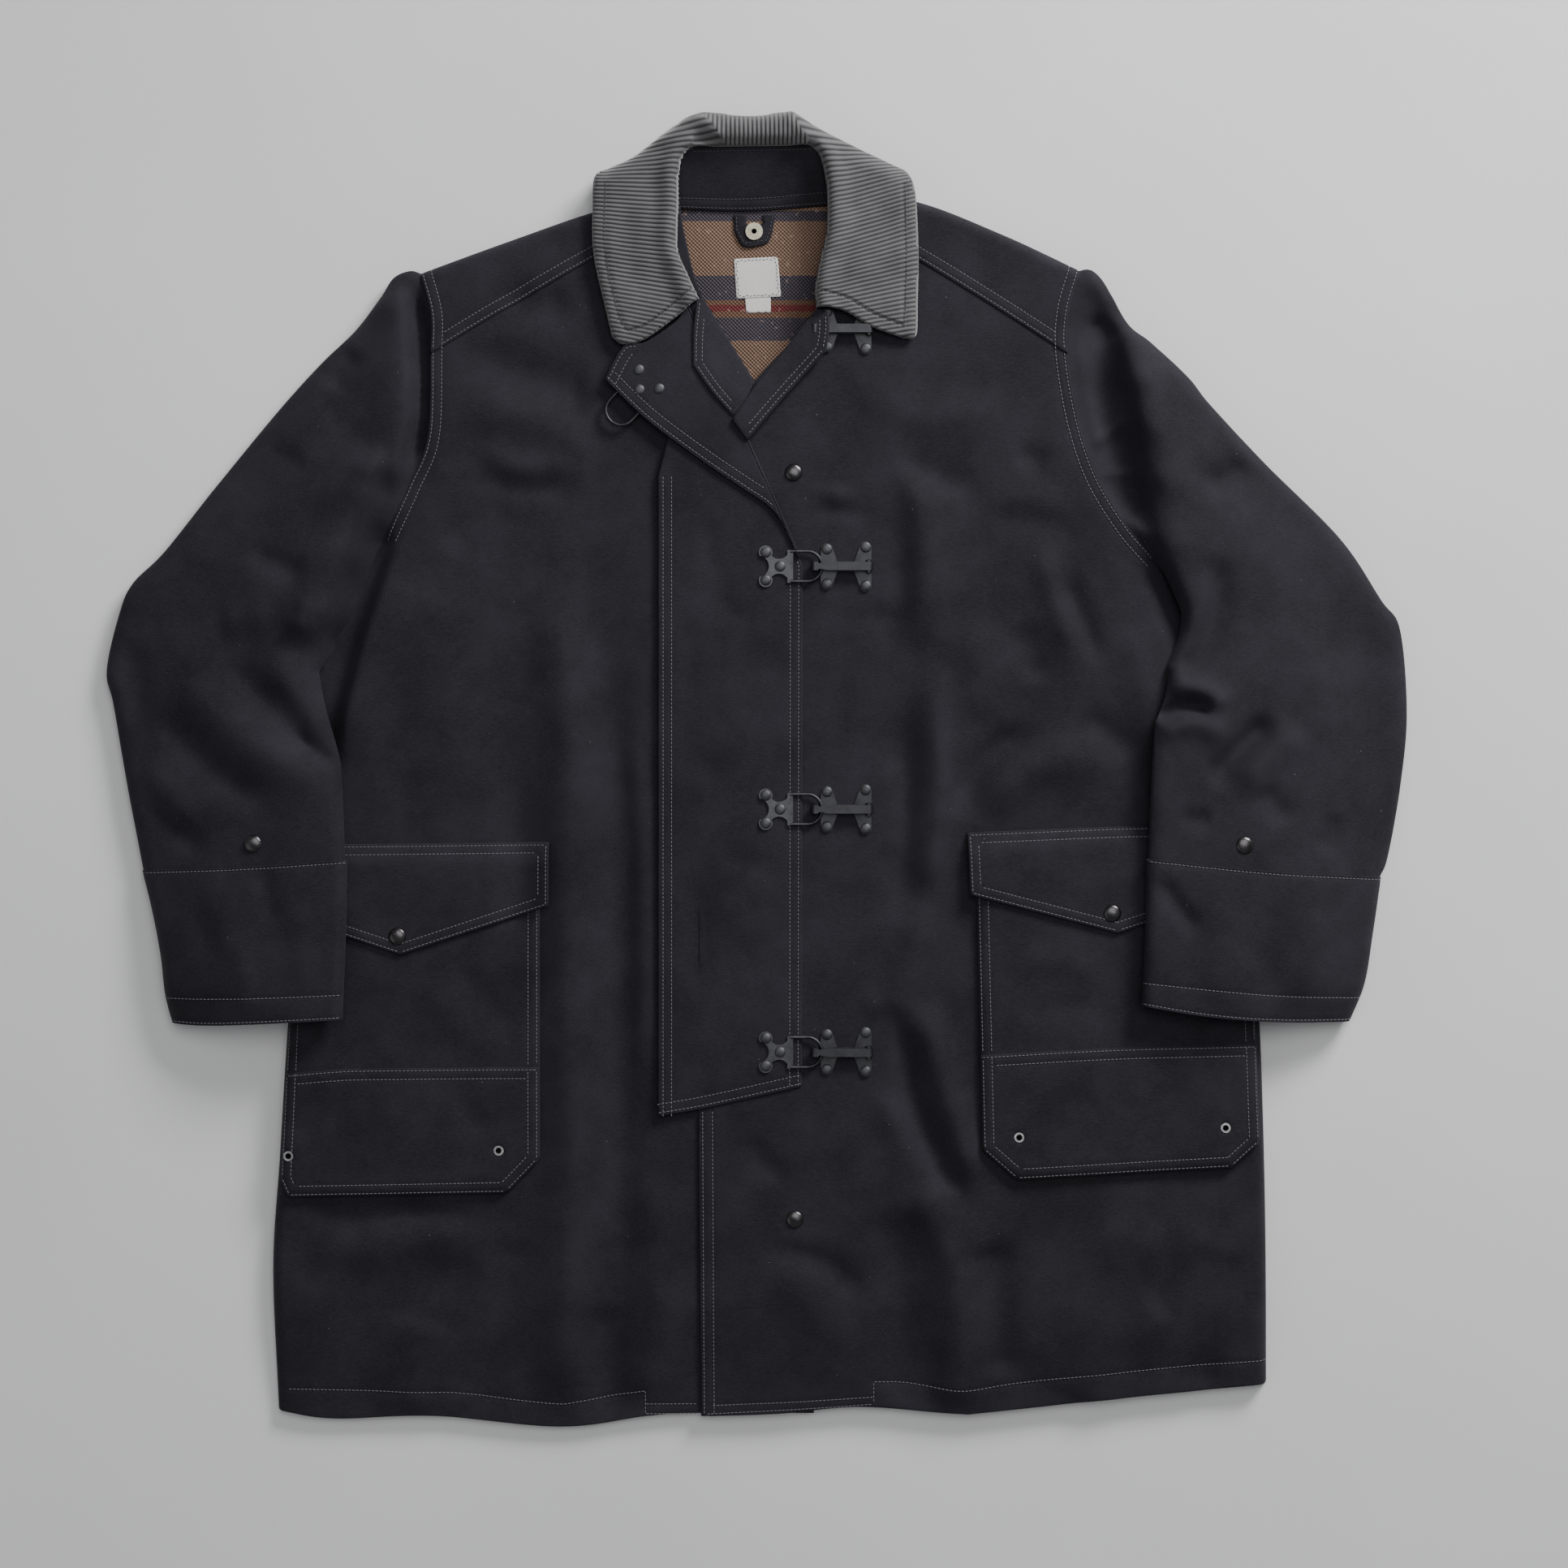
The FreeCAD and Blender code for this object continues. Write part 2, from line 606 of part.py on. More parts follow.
def hanger_snap():
    level = "Sizes.hanger_level"
    x, y = -2, 397
    ring = fused("hanger_snap_solid", [
        cylinder("hanger_snap_face", "snap_cap_radius", "Sizes.snap_socket_height", x, y,
                 level + " + Sizes.cloth"),
        cylinder("hanger_snap_post", "shank_radius", "Sizes.cloth", x, y, level),
    ])
    mouth = cylinder("hanger_snap_mouth", "snap_socket_bore", "Sizes.snap_socket_height", x, y,
                     level + " + Sizes.cloth")
    bored("hanger_snap", ring, mouth).Label = "hanger_snap"


def eyelets():
    """Drain eyelets in the lower corners of the pockets."""
    tops = {"right": RIGHT_TOP, "left": LEFT_TOP}
    pieces = []
    for side, spots in EYELETS.items():
        face = tops[side] + " + Sizes.pocket_depth"
        doubled = "2 * Sizes.cloth"
        for index, (x, y) in enumerate(spots):
            name = "%s_eyelet_%d" % (side, index)
            solid = fused(name + "_solid", [
                cylinder(name + "_lip", "eyelet_radius", "Sizes.eyelet_lip", x, y,
                         face + " + " + doubled),
                cylinder(name + "_barrel", "eyelet_barrel", doubled, x, y, face),
                cylinder(name + "_back", "eyelet_radius", "Sizes.eyelet_lip", x, y,
                         face + " - Sizes.eyelet_lip"),
            ])
            bore = cylinder(name + "_bore", "eyelet_bore", doubled + " + 2 * Sizes.eyelet_lip", x, y,
                            face + " - Sizes.eyelet_lip")
            pieces.append(bored(name, solid, bore))
    group("pocket_eyelets", pieces)


# ---------------------------------------------------------------- clasps


def throat_dee_placement(level):
    """Where the throat dee lies: its closed place, swung half a turn about the corner's fold."""
    fold = FOLD_HEAD - FOLD_FOOT
    closed_rise = size("storm_flap_level") + size("cloth") if level else 0
    closed = Placement(Vector(DEE_COLUMN, CLASP_HEIGHTS[THROAT], closed_rise), Rotation())
    centre = Vector(FOLD_FOOT.x, FOLD_FOOT.y, level)
    return Placement(Vector(), Rotation(fold, 180), centre).multiply(closed)


def dee_plate(number):
    """Stamped plate with three riveted lobes, its right bar carrying the round wire of the dee."""
    body = new_body("dee_plate_%d" % number)
    lobe = Vector(-10.5, 10.2, 0)
    radius = 5.0
    tilt = math.radians(30)
    near_x = lobe.x + radius * math.cos(tilt)
    far_x = lobe.x - radius * math.cos(tilt)
    low_y = lobe.y - radius * math.sin(tilt)
    outline = [(9.6, -12), (9.6, 12), (5.4, 12), (5.4, 8.6),
               Bend((-0.6, 5.4), (near_x, low_y)), Bend((lobe.x, lobe.y + radius), (far_x, low_y)),
               Bend((-8.2, 0), (far_x, -low_y)), Bend((lobe.x, -lobe.y - radius), (near_x, -low_y)),
               Bend((-0.6, -5.4), (5.4, -8.6)), (5.4, -12)]
    pad(body, "plate", outline, "0", "Sizes.dee_plate_thickness", holes=DEE_RIVETS)

    bend = size("dee_bend_radius")
    straight = size("dee_straight")
    path = sketch_on(body, "dee_path", "XY_Plane", "Sizes.dee_plate_thickness - 0.1")
    start_x = 7.5
    top = path.addGeometry(Part.LineSegment(Vector(start_x, bend, 0), Vector(straight, bend, 0)))
    turn = path.addGeometry(Part.Arc(Vector(straight, bend, 0), Vector(straight + bend, 0, 0),
                                     Vector(straight, -bend, 0)))
    low = path.addGeometry(Part.LineSegment(Vector(straight, -bend, 0), Vector(start_x, -bend, 0)))
    path.addConstraint(Sketcher.Constraint("Tangent", top, 2, turn, 2))
    path.addConstraint(Sketcher.Constraint("Tangent", low, 1, turn, 1))
    ring = sketch_on(body, "wire_sketch", "YZ_Plane", str(start_x))
    circle = ring.addGeometry(Part.Circle(Vector(bend, size("dee_plate_thickness") - 0.1, 0),
                                          Vector(0, 0, 1), size("dee_wire_radius")))
    thick = ring.addConstraint(Sketcher.Constraint("Radius", circle, size("dee_wire_radius")))
    ring.setExpression("Constraints[%d]" % thick, "Sizes.dee_wire_radius")
    wire = body.newObject("PartDesign::AdditivePipe", body.Label + "_wire")
    wire.Profile = ring
    wire.Spine = (path, ["Edge1", "Edge2", "Edge3"])
    if number == THROAT:
        body.Placement = throat_dee_placement(size("fold_level"))
    else:
        body.Placement = Placement(Vector(DEE_COLUMN, CLASP_HEIGHTS[number], 0), Rotation())
        body.setExpression("Placement.Base.z", STORM_TOP)


def on_left_front(body, number):
    body.Placement = Placement(Vector(HOOK_COLUMN, CLASP_HEIGHTS[number], 0), Rotation())
    body.setExpression("Placement.Base.z", LEFT_TOP)


def hook_base(number):
    """Plate with two pairs of riveted ears on a spine, and two lugs that hold the lever's pin."""
    body = new_body("hook_base_%d" % number)
    half = [(-19.2, 3.5), (-18.4, 12.8), Bend((-14.2, 17.0), (-10.25, 14.2)), (-6.8, 4.2), (-6.8, 3.5),
            (5.8, 3.5), (10.25, 15.6), Bend((14.2, 18.4), (18.4, 14.2))]
    mirrored = [(18.4, -14.2), Bend((14.2, -18.4), (10.25, -15.6)), (5.8, -3.5), (-6.8, -3.5),
                (-6.8, -4.2), (-10.25, -14.2), Bend((-14.2, -17.0), (-18.4, -12.8)), (-19.2, -3.5)]
    pad(body, "plate", half + mirrored, "0", "Sizes.hook_base_thickness", holes=HOOK_RIVETS)
    rise = size("hook_pin_rise")
    hub = size("hook_hub_radius")
    foot = size("hook_base_thickness")
    lug = [(HOOK_PIN_X - hub, foot), (HOOK_PIN_X + 1.6, foot), (HOOK_PIN_X + 1.6, rise),
           Bend((HOOK_PIN_X - 0.5, rise + 2.1), (HOOK_PIN_X - hub, rise))]
    clear = size("hook_lever_width") / 2 + 0.2
    for name, start in (("lug_far", -clear - size("hook_lug_thickness")), ("lug_near", clear)):
        sketch = sketch_on(body, name + "_sketch", "XZ_Plane", str(-start))
        trace(sketch, lug)
        drill(sketch, [(HOOK_PIN_X, rise)], "hook_pin_radius")
        ear = body.newObject("PartDesign::Pad", body.Label + "_" + name)
        ear.Profile = sketch
        ear.Reversed = True
        ear.setExpression("Length", "Sizes.hook_lug_thickness")
    keeper = [(-15, foot), (-15, 3.2), Bend((-10.5, 3.7), (-6, 3.2)), (-6, foot)]
    pad(body, "keeper", keeper, "0", "Sizes.hook_spring_width", role="XZ_Plane", midplane=True)
    on_left_front(body, number)


def hook_lever(number):
    """The hinged hook: a hub on the pin, a straight arm and a nose that dips through the dee."""
    body = new_body("hook_lever_%d" % number)
    rise = size("hook_pin_rise")
    hub = size("hook_hub_radius")
    profile = [(HOOK_PIN_X, rise + hub), Bend((HOOK_PIN_X + hub, rise), (HOOK_PIN_X, rise - hub)),
               Bend((HOOK_PIN_X - 1.8, rise - 1.8), (HOOK_PIN_X - hub, 5.0)), (-17.4, 5.0),
               Bend((-19.6, 4.4), (-20.2, 2.2)), Bend((-22.4, 0.9), (-24.4, 2.2)),
               Bend((-25.6, 5.2), (-22.0, 6.9)), (-6, 7.4)]
    pad(body, "arm", profile, "0", "Sizes.hook_lever_width", holes=[(HOOK_PIN_X, rise)],
        hole_radius="hook_bore_radius", role="XZ_Plane", midplane=True)
    taper = [(-30, -4), (-7, -4), (-7, -3.2), (-14, -3.1), (-20, -1.9), Bend((-27, 0), (-20, 1.9)),
             (-14, 3.1), (-7, 3.2), (-7, 4), (-30, 4)]
    sketch = sketch_on(body, "taper_sketch", "XY_Plane", "0")
    trace(sketch, taper)
    cut = body.newObject("PartDesign::Pocket", body.Label + "_taper")
    cut.Profile = sketch
    cut.Reversed = True
    cut.setExpression("Length", "Sizes.hook_taper_depth")
    on_left_front(body, number)


def hook_spring(number):
    """Leaf spring strip between the base and the lever, clamped under the keeper's end."""
    body = new_body("hook_spring_%d" % number)
    strip = [Bend((4, 2.9), (-5.6, 2.2)), (-5.6, 2.6), Bend((5, 3.4), (13, 2.1)), (13, 1.2), (11.4, 1.2),
             (11.4, 1.8)]
    pad(body, "strip", strip, "0", "Sizes.hook_spring_width", role="XZ_Plane", midplane=True)
    on_left_front(body, number)


def hook_pin(number):
    pin = doc.addObject("Part::Cylinder", "hook_pin_%d" % number)
    pin.Label = "hook_pin_%d" % number
    pin.setExpression("Radius", "Sizes.hook_pin_radius")
    length = "(Sizes.hook_lever_width + 2 * Sizes.hook_lug_thickness + 1.6)"
    pin.setExpression("Height", length)
    pin.Placement = Placement(Vector(HOOK_COLUMN + HOOK_PIN_X, 0, 0), Rotation(Vector(1, 0, 0), 90))
    pin.setExpression("Placement.Base.y", "%s + %s / 2" % (CLASP_HEIGHTS[number], length))
    pin.setExpression("Placement.Base.z", LEFT_TOP + " + Sizes.hook_pin_rise")


def clasps():
    for number in CLASP_HEIGHTS:
        dee_plate(number)
        hook_base(number)
        hook_lever(number)
        hook_spring(number)
        hook_pin(number)


# ---------------------------------------------------------------- build, check and export

back_panel()
right_front()
left_front()
shoulder_yokes()
storm_flap()
throat_facings()
collar()
collar_stand()
neck_trims()
sleeves()
pockets()
rivets()
throat_rivets()
snaps()
hanger_snap()
eyelets()
clasps()
doc.recompute()

NODES = (
    "back_panel back_lining right_front_panel right_front_lining left_front_panel left_front_lining "
    "right_shoulder_yoke left_shoulder_yoke storm_flap storm_flap_corner right_throat_facing "
    "left_throat_facing collar collar_stand hanger_tab hanger_snap neck_label size_tab "
    "right_sleeve left_sleeve right_cuff left_cuff right_pocket left_pocket "
    "right_pocket_reinforcement left_pocket_reinforcement right_pocket_flap left_pocket_flap "
    "dee_rivets throat_dee_rivets hook_rivets front_snap_caps front_snap_studs sleeve_snaps "
    "pocket_snap_caps pocket_snap_studs pocket_eyelets").split()
for kind in ("dee_plate", "hook_base", "hook_lever", "hook_spring", "hook_pin"):
    NODES += ["%s_%d" % (kind, number) for number in CLASP_HEIGHTS]

for item in doc.Objects:
    if "Invalid" in item.State or "Error" in item.State:
        raise RuntimeError("%s did not compute: %s" % (item.Label, item.State))

os.makedirs("parts", exist_ok=True)
for node in NODES:
    shape = doc.getObjectsByLabel(node)[0].Shape
    if shape.isNull() or not shape.isValid():
        raise RuntimeError(node + " has no valid shape")
    shape.exportStep("parts/%s.step" % node)
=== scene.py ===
"""Turnout coat lying closed on its back, drawn in Blender around its CAD frame.

Plan positions and heights are written in millimetres of the shared frame and turned into metres
when a mesh is made. Levels of the cloth come from the CAD nodes' boxes.
"""

import math

import bpy
import numpy as np
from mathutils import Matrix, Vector, geometry


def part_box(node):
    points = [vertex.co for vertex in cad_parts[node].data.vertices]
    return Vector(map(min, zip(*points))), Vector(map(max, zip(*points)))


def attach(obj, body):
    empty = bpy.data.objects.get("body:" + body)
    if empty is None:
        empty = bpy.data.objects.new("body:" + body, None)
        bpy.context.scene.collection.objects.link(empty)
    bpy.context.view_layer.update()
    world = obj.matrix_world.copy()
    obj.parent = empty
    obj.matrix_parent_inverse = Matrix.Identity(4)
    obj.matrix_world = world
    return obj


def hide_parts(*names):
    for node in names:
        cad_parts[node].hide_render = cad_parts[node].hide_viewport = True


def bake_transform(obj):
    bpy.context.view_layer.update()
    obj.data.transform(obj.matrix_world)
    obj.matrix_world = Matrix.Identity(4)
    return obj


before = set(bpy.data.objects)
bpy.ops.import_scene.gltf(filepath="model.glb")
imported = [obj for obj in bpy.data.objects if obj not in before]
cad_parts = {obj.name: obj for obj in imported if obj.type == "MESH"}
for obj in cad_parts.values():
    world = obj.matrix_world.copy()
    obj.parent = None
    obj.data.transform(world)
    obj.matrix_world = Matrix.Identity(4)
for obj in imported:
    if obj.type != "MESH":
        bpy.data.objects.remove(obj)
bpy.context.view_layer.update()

MM = 0.001

# ------------------------------------------------------------------ sizes of the cloth and sewing

CLOTH = 1.2  # thickness of the canvas
LINING = 2.0  # thickness of the blanket lining
GRID = 4.0  # spacing of the points inside a cloth mesh
OUTLINE_STEP = 2.4  # spacing of the points along its outline
STITCH_PITCH = 2.9
STITCH_LENGTH = 2.3
THREAD_RADIUS = 0.36
EDGE_ROW = 2.2  # from an edge to its first row of sewing
TWIN_GAP = 6.35  # between the two rows of a twin needle
CORD_PITCH = 3.2  # from wale to wale of the corduroy
CHUNK = 4000  # points measured at a time, to spare memory
LINING_INSET = 9.0  # from the fronts' edges to their linings' edges
HOOK_CALM = 22  # the folds come back within this distance of the hardware


def top_of(node):
    """Height of a CAD node's top, in millimetres."""
    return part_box(node)[1].z / MM


def middle_of(node):
    """Middle of a CAD node's box, in millimetres."""
    low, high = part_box(node)
    return low.lerp(high, 0.5) / MM


RIGHT_TOP = top_of("right_shoulder_yoke") - CLOTH
LEFT_TOP = top_of("left_shoulder_yoke") - CLOTH
STORM_TOP = top_of("storm_flap")
CORNER_TOP = top_of("storm_flap_corner")


# ------------------------------------------------------------------ materials


class Finish:
    """A material being built. Each method adds nodes and gives back the last one's output."""

    def __init__(self, name):
        self.material = bpy.data.materials.new(name)
        self.material.use_nodes = True
        self.tree = self.material.node_tree
        self.shader = self.tree.nodes["Principled BSDF"]
        self.place = self.add("ShaderNodeTexCoord").outputs["Object"]

    def feed(self, socket, value):
        """Links another node's output to a socket, or sets the socket's own value."""
        if isinstance(value, bpy.types.NodeSocket):
            self.tree.links.new(value, socket)
        else:
            socket.default_value = value

    def add(self, kind, **settings):
        """A node, with its inputs and settings by name."""
        node = self.tree.nodes.new(kind)
        for key, value in settings.items():
            if key in node.inputs:
                self.feed(node.inputs[key], value)
            else:
                setattr(node, key, value)
        return node

    def noise(self, scale, detail, roughness=0.5, where=None):
        """Cloudy noise, at the object's own coordinates unless others are given."""
        where = self.place if where is None else where
        node = self.add("ShaderNodeTexNoise", Scale=scale, Detail=detail, Roughness=roughness, Vector=where)
        return node.outputs[0]

    def math(self, operation, *values):
        """One Math node; each value is an output or a number."""
        node = self.add("ShaderNodeMath", operation=operation)
        for socket, value in zip(node.inputs, values):
            self.feed(socket, value)
        return node.outputs[0]

    def total(self, *terms):
        """Sum of outputs, each times its weight."""
        parts = [self.math("MULTIPLY", output, weight) for output, weight in terms]
        result = parts[0]
        for part in parts[1:]:
            result = self.math("ADD", result, part)
        return result

    def ramp(self, value, stops, mode="LINEAR"):
        """A colour ramp with (position, colour) stops."""
        node = self.add("ShaderNodeValToRGB", Fac=value)
        node.color_ramp.interpolation = mode
        elements = node.color_ramp.elements
        while len(elements) > 1:
            elements.remove(elements[-1])
        elements[0].position, elements[0].color = stops[0][0], (*stops[0][1], 1)
        for position, colour in stops[1:]:
            element = elements.new(position)
            element.color = (*colour, 1)
        return node.outputs[0]

    def mix(self, factor, first, second):
        """Colour mix; each argument is an output or a value."""
        node = self.add("ShaderNodeMix", data_type="RGBA")
        for index, value in ((0, factor), (6, first), (7, second)):
            self.feed(node.inputs[index], value)
        return node.outputs[2]

    def weave(self, yarn):
        """Height of a plain weave with the given yarn width in metres."""
        split = self.add("ShaderNodeSeparateXYZ", Vector=self.place)
        turns = [self.math("MULTIPLY", split.outputs[axis], math.pi / yarn) for axis in (0, 1)]
        return self.math("MULTIPLY", *[self.math("SINE", turn) for turn in turns])

    def bump(self, height, strength, depth):
        """Fine relief, with its depth in metres."""
        node = self.add("ShaderNodeBump", Strength=strength, Distance=depth, Height=height)
        self.feed(self.shader.inputs["Normal"], node.outputs[0])

    def shade(self, settings):
        """Sets the shader's inputs and gives back the finished material."""
        for key, value in settings.items():
            self.feed(self.shader.inputs[key], value)
        return self.material


def canvas(name, dark, light):
    """Heavy cotton duck: plain weave, slubs, faint mottling and a few specks of lint."""
    finish = Finish(name)
    weave = finish.weave(0.0007)
    drawn_out = finish.add("ShaderNodeMapping", Vector=finish.place, Scale=(260, 1400, 900)).outputs[0]
    slubs = finish.noise(1.0, 3.0, where=drawn_out)
    grain = finish.noise(900.0, 4.0, 0.65)
    mottle = finish.noise(22.0, 6.0, 0.6)
    lint = finish.add("ShaderNodeTexVoronoi", Scale=55.0, Vector=finish.place).outputs["Distance"]
    tone = finish.total((grain, 0.55), (mottle, 0.6), (slubs, 0.35), (weave, 0.06))
    cloth = finish.ramp(tone, [(0.5, dark), (0.98, light)])
    finish.bump(finish.total((weave, 1.0), (slubs, 1.6), (grain, 1.4)), 0.55, 0.00022)
    return finish.shade({
        "Base Color": finish.mix(finish.math("LESS_THAN", lint, 0.018), cloth, (0.16, 0.15, 0.17, 1)),
        "Roughness": finish.math("MULTIPLY_ADD", grain, 0.16, 0.74),
        "Sheen Weight": 0.07,
        "Sheen Roughness": 0.45,
        "Sheen Tint": (0.62, 0.6, 0.72, 1),
        "Specular IOR Level": 0.28,
    })


def corduroy(name):
    """Grey corduroy: the wales are in the mesh, and their tone follows the height of the wale as painted
    shade, darkest in the grooves.
    """
    finish = Finish(name)
    wale = finish.add("ShaderNodeAttribute", attribute_name="wale").outputs["Fac"]
    fuzz = finish.noise(1500.0, 4.0, 0.7)
    mottle = finish.noise(60.0, 5.0)
    # Painted shade: the lower a point lies on its wale, the darker its colour, nearly black in the grooves;
    # mottle and fuzz add random tone.
    tone = finish.math("SUBTRACT", finish.total((wale, 0.72), (mottle, 0.3), (fuzz, 0.25)), 0.2)
    stops = [(0.0, (0.006, 0.006, 0.007)), (0.45, (0.05, 0.049, 0.052)), (1.0, (0.205, 0.2, 0.205))]
    finish.bump(fuzz, 0.6, 0.0003)
    return finish.shade({
        "Base Color": finish.ramp(tone, stops),
        "Roughness": 0.9,
        "Sheen Weight": 0.5,
        "Sheen Roughness": 0.35,
        "Specular IOR Level": 0.2,
    })


# Stripes of the blanket lining, from the neck down: (y where the stripe ends, dark and light yarn).
TAN = ((0.055, 0.031, 0.021), (0.37, 0.23, 0.16))
SLATE = ((0.01, 0.008, 0.014), (0.115, 0.095, 0.118))
RUST = ((0.05, 0.025, 0.015), (0.26, 0.14, 0.088))
RED = ((0.06, 0.01, 0.012), (0.24, 0.045, 0.045))
STRIPES = [
    (404.3, SLATE), (364.1, TAN), (346.0, SLATE), (342.5, RUST),
    (337.6, RED), (332.8, RUST), (315.9, SLATE), (262, TAN),
]
STRIPE_START = 411.6
STRIPE_REPEAT = STRIPE_START - STRIPES[-1][0]


def striped(finish, shade):
    """Colour of the stripes, in their dark (0) or light (1) yarn."""
    down = finish.add("ShaderNodeSeparateXYZ", Vector=finish.place).outputs[1]
    down = finish.math("MULTIPLY", down, -1 / (STRIPE_REPEAT * MM))
    down = finish.math("ADD", down, STRIPE_START / STRIPE_REPEAT)
    down = finish.math("ADD", down, finish.math("MULTIPLY", finish.noise(420.0, 2.0), 0.012))
    starts = [STRIPE_START] + [end for end, _ in STRIPES]
    stops = [
        ((STRIPE_START - start) / STRIPE_REPEAT, yarns[shade]) for start, (_, yarns) in zip(starts, STRIPES)
    ]
    return finish.ramp(finish.math("FRACT", down), stops, "CONSTANT")


def blanket(name):
    """Blanket lining: striped wool with light flecks of the crossing yarn."""
    finish = Finish(name)
    weave = finish.weave(0.0014)
    fibre = finish.noise(1300.0, 4.0, 0.7)
    fleck = finish.math("MULTIPLY_ADD", weave, 0.55, 0.32)
    fleck = finish.math("ADD", fleck, finish.math("MULTIPLY", fibre, 0.55))
    fleck = finish.add("ShaderNodeClamp", Value=finish.math("SUBTRACT", fleck, 0.2)).outputs[0]
    wool = finish.mix(fleck, striped(finish, 0), striped(finish, 1))
    spots = finish.math("MULTIPLY", finish.math("GREATER_THAN", finish.noise(240.0, 1.0), 0.7), 0.3)
    finish.bump(finish.math("ADD", weave, fibre), 0.9, 0.0005)
    return finish.shade({
        "Base Color": finish.mix(spots, wool, (0.42, 0.3, 0.24, 1)),
        "Roughness": 0.92,
        "Sheen Weight": 0.3,
        "Specular IOR Level": 0.15,
    })


def fine_cloth(name, colour, shade, yarn):
    """Smooth label cloth or thread."""
    finish = Finish(name)
    weave = finish.weave(yarn)
    tone = finish.math("MULTIPLY_ADD", weave, 0.25, finish.noise(1800.0, 3.0))
    finish.bump(weave, 0.4, 0.0001)
    return finish.shade({"Base Color": finish.ramp(tone, [(0.2, shade), (0.7, colour)]), "Roughness": 0.7})


def metal(name, dark, light, roughness, worn=0.0):
    """Cast or pressed metal with uneven tone and fine pitting, and lighter edges where it is worn."""
    finish = Finish(name)
    cloud = finish.noise(180.0, 6.0, 0.65)
    colour = finish.ramp(cloud, [(0.3, dark), (0.7, light)])
    if worn:
        edge = finish.add("ShaderNodeNewGeometry").outputs["Pointiness"]
        rub = finish.math("MULTIPLY", finish.ramp(edge, [(0.5, (0, 0, 0)), (0.58, (1, 1, 1))]), worn)
        colour = finish.mix(rub, colour, (0.42, 0.42, 0.43, 1))
    finish.bump(finish.noise(2600.0, 3.0), 0.35, 0.00008)
    return finish.shade({
        "Base Color": colour,
        "Roughness": finish.math("MULTIPLY_ADD", cloud, 0.22, roughness - 0.1),
        "Metallic": 1.0,
    })


DUCK = canvas("duck_canvas", (0.0025, 0.0023, 0.0041), (0.0245, 0.022, 0.0315))
CORDUROY = corduroy("corduroy")
BLANKET = blanket("blanket_lining")
THREAD = fine_cloth("sewing_thread", (0.165, 0.16, 0.178), (0.076, 0.074, 0.084), 0.0006)
GREY_THREAD = fine_cloth("grey_thread", (0.06, 0.058, 0.07), (0.03, 0.03, 0.036), 0.0006)
LABEL = fine_cloth("label_cloth", (0.7, 0.68, 0.66), (0.52, 0.5, 0.49), 0.0005)
GUNMETAL = metal("gunmetal", (0.019, 0.019, 0.022), (0.046, 0.046, 0.052), 0.48, worn=0.07)
PLATE_STEEL = metal("plate_steel", (0.03, 0.03, 0.034), (0.078, 0.078, 0.086), 0.44, worn=0.08)
SPRING = metal("spring_steel", (0.02, 0.02, 0.022), (0.045, 0.045, 0.047), 0.42)
RIVET = metal("rivet_metal", (0.06, 0.06, 0.065), (0.115, 0.115, 0.124), 0.55, worn=0.05)
SNAP = metal("snap_metal", (0.06, 0.056, 0.058), (0.11, 0.105, 0.11), 0.28)
SILVER = metal("eyelet_metal", (0.4, 0.4, 0.4), (0.62, 0.62, 0.62), 0.3)
BRASS = metal("snap_ring", (0.16, 0.145, 0.105), (0.36, 0.33, 0.26), 0.28)


# ------------------------------------------------------------------ lines in the plan


def straight(*points, step=OUTLINE_STEP):
    """Points along straight stretches."""
    line = [np.array(points[0], float)]
    for a, b in zip(points, points[1:]):
        a, b = np.array(a, float), np.array(b, float)
        count = max(1, int(np.hypot(*(b - a)) / step))
        line += [a + (b - a) * (k + 1) / count for k in range(count)]
    return np.array(line)


def curve(*points, step=OUTLINE_STEP):
    """Points along a Catmull-Rom curve through the given points."""
    p = [np.array(q, float) for q in points]
    p = [2 * p[0] - p[1]] + p + [2 * p[-1] - p[-2]]
    line = [p[1]]
    for a, b, c, d in zip(p, p[1:], p[2:], p[3:]):
        count = max(1, int(np.hypot(*(c - b)) / step))
        for k in range(1, count + 1):
            t = k / count
            bend = (2 * a - 5 * b + 4 * c - d) * t**2 + (3 * b - a - 3 * c + d) * t**3
            line.append(0.5 * (2 * b + (c - a) * t + bend))
    return np.array(line)


def joined(*runs):
    """One closed outline from runs that meet end to end."""
    points = []
    for run in runs:
        for q in run:
            if not points or np.hypot(*(q - points[-1])) > 0.2:
                points.append(q)
    if np.hypot(*(points[0] - points[-1])) < 0.2:
        points.pop()
    return np.array(points)


def segment_distance(x, y, a, b):
    """Distance from points to the nearest of the segments from a to b."""
    ab = b - a
    length2 = np.maximum((ab**2).sum(1), 1e-12)
    best = np.full(len(x), 1e9)
    for start in range(0, len(x), CHUNK):
        part = slice(start, start + CHUNK)
        dx, dy = x[part, None] - a[:, 0], y[part, None] - a[:, 1]
        t = np.clip((dx * ab[:, 0] + dy * ab[:, 1]) / length2, 0, 1)
        best[part] = np.sqrt(((dx - t * ab[:, 0]) ** 2 + (dy - t * ab[:, 1]) ** 2).min(1))
    return best


def distance(x, y, line, closed=False):
    """Distance from points to a polyline."""
    a = np.asarray(line, float)
    b = np.roll(a, -1, axis=0)
    if not closed:
        a, b = a[:-1], b[:-1]
    return segment_distance(x, y, a, b)


def inside(x, y, outline):
    """Which points lie inside a closed outline."""
    a = np.asarray(outline, float)
    b = np.roll(a, -1, axis=0)
    hit = np.zeros(len(x), bool)
    for (ax, ay), (bx, by) in zip(a, b):
        if ay == by:
            continue
        crosses = (ay > y) != (by > y)
        hit ^= crosses & (x < (bx - ax) * (y - ay) / (by - ay) + ax)
    return hit


def kept_inside(line, outline, margin):
    """The points of a line that are inside an outline and further than a margin from its edge."""
    line = line[inside(line[:, 0], line[:, 1], outline)]
    return line[distance(line[:, 0], line[:, 1], outline, closed=True) > margin]


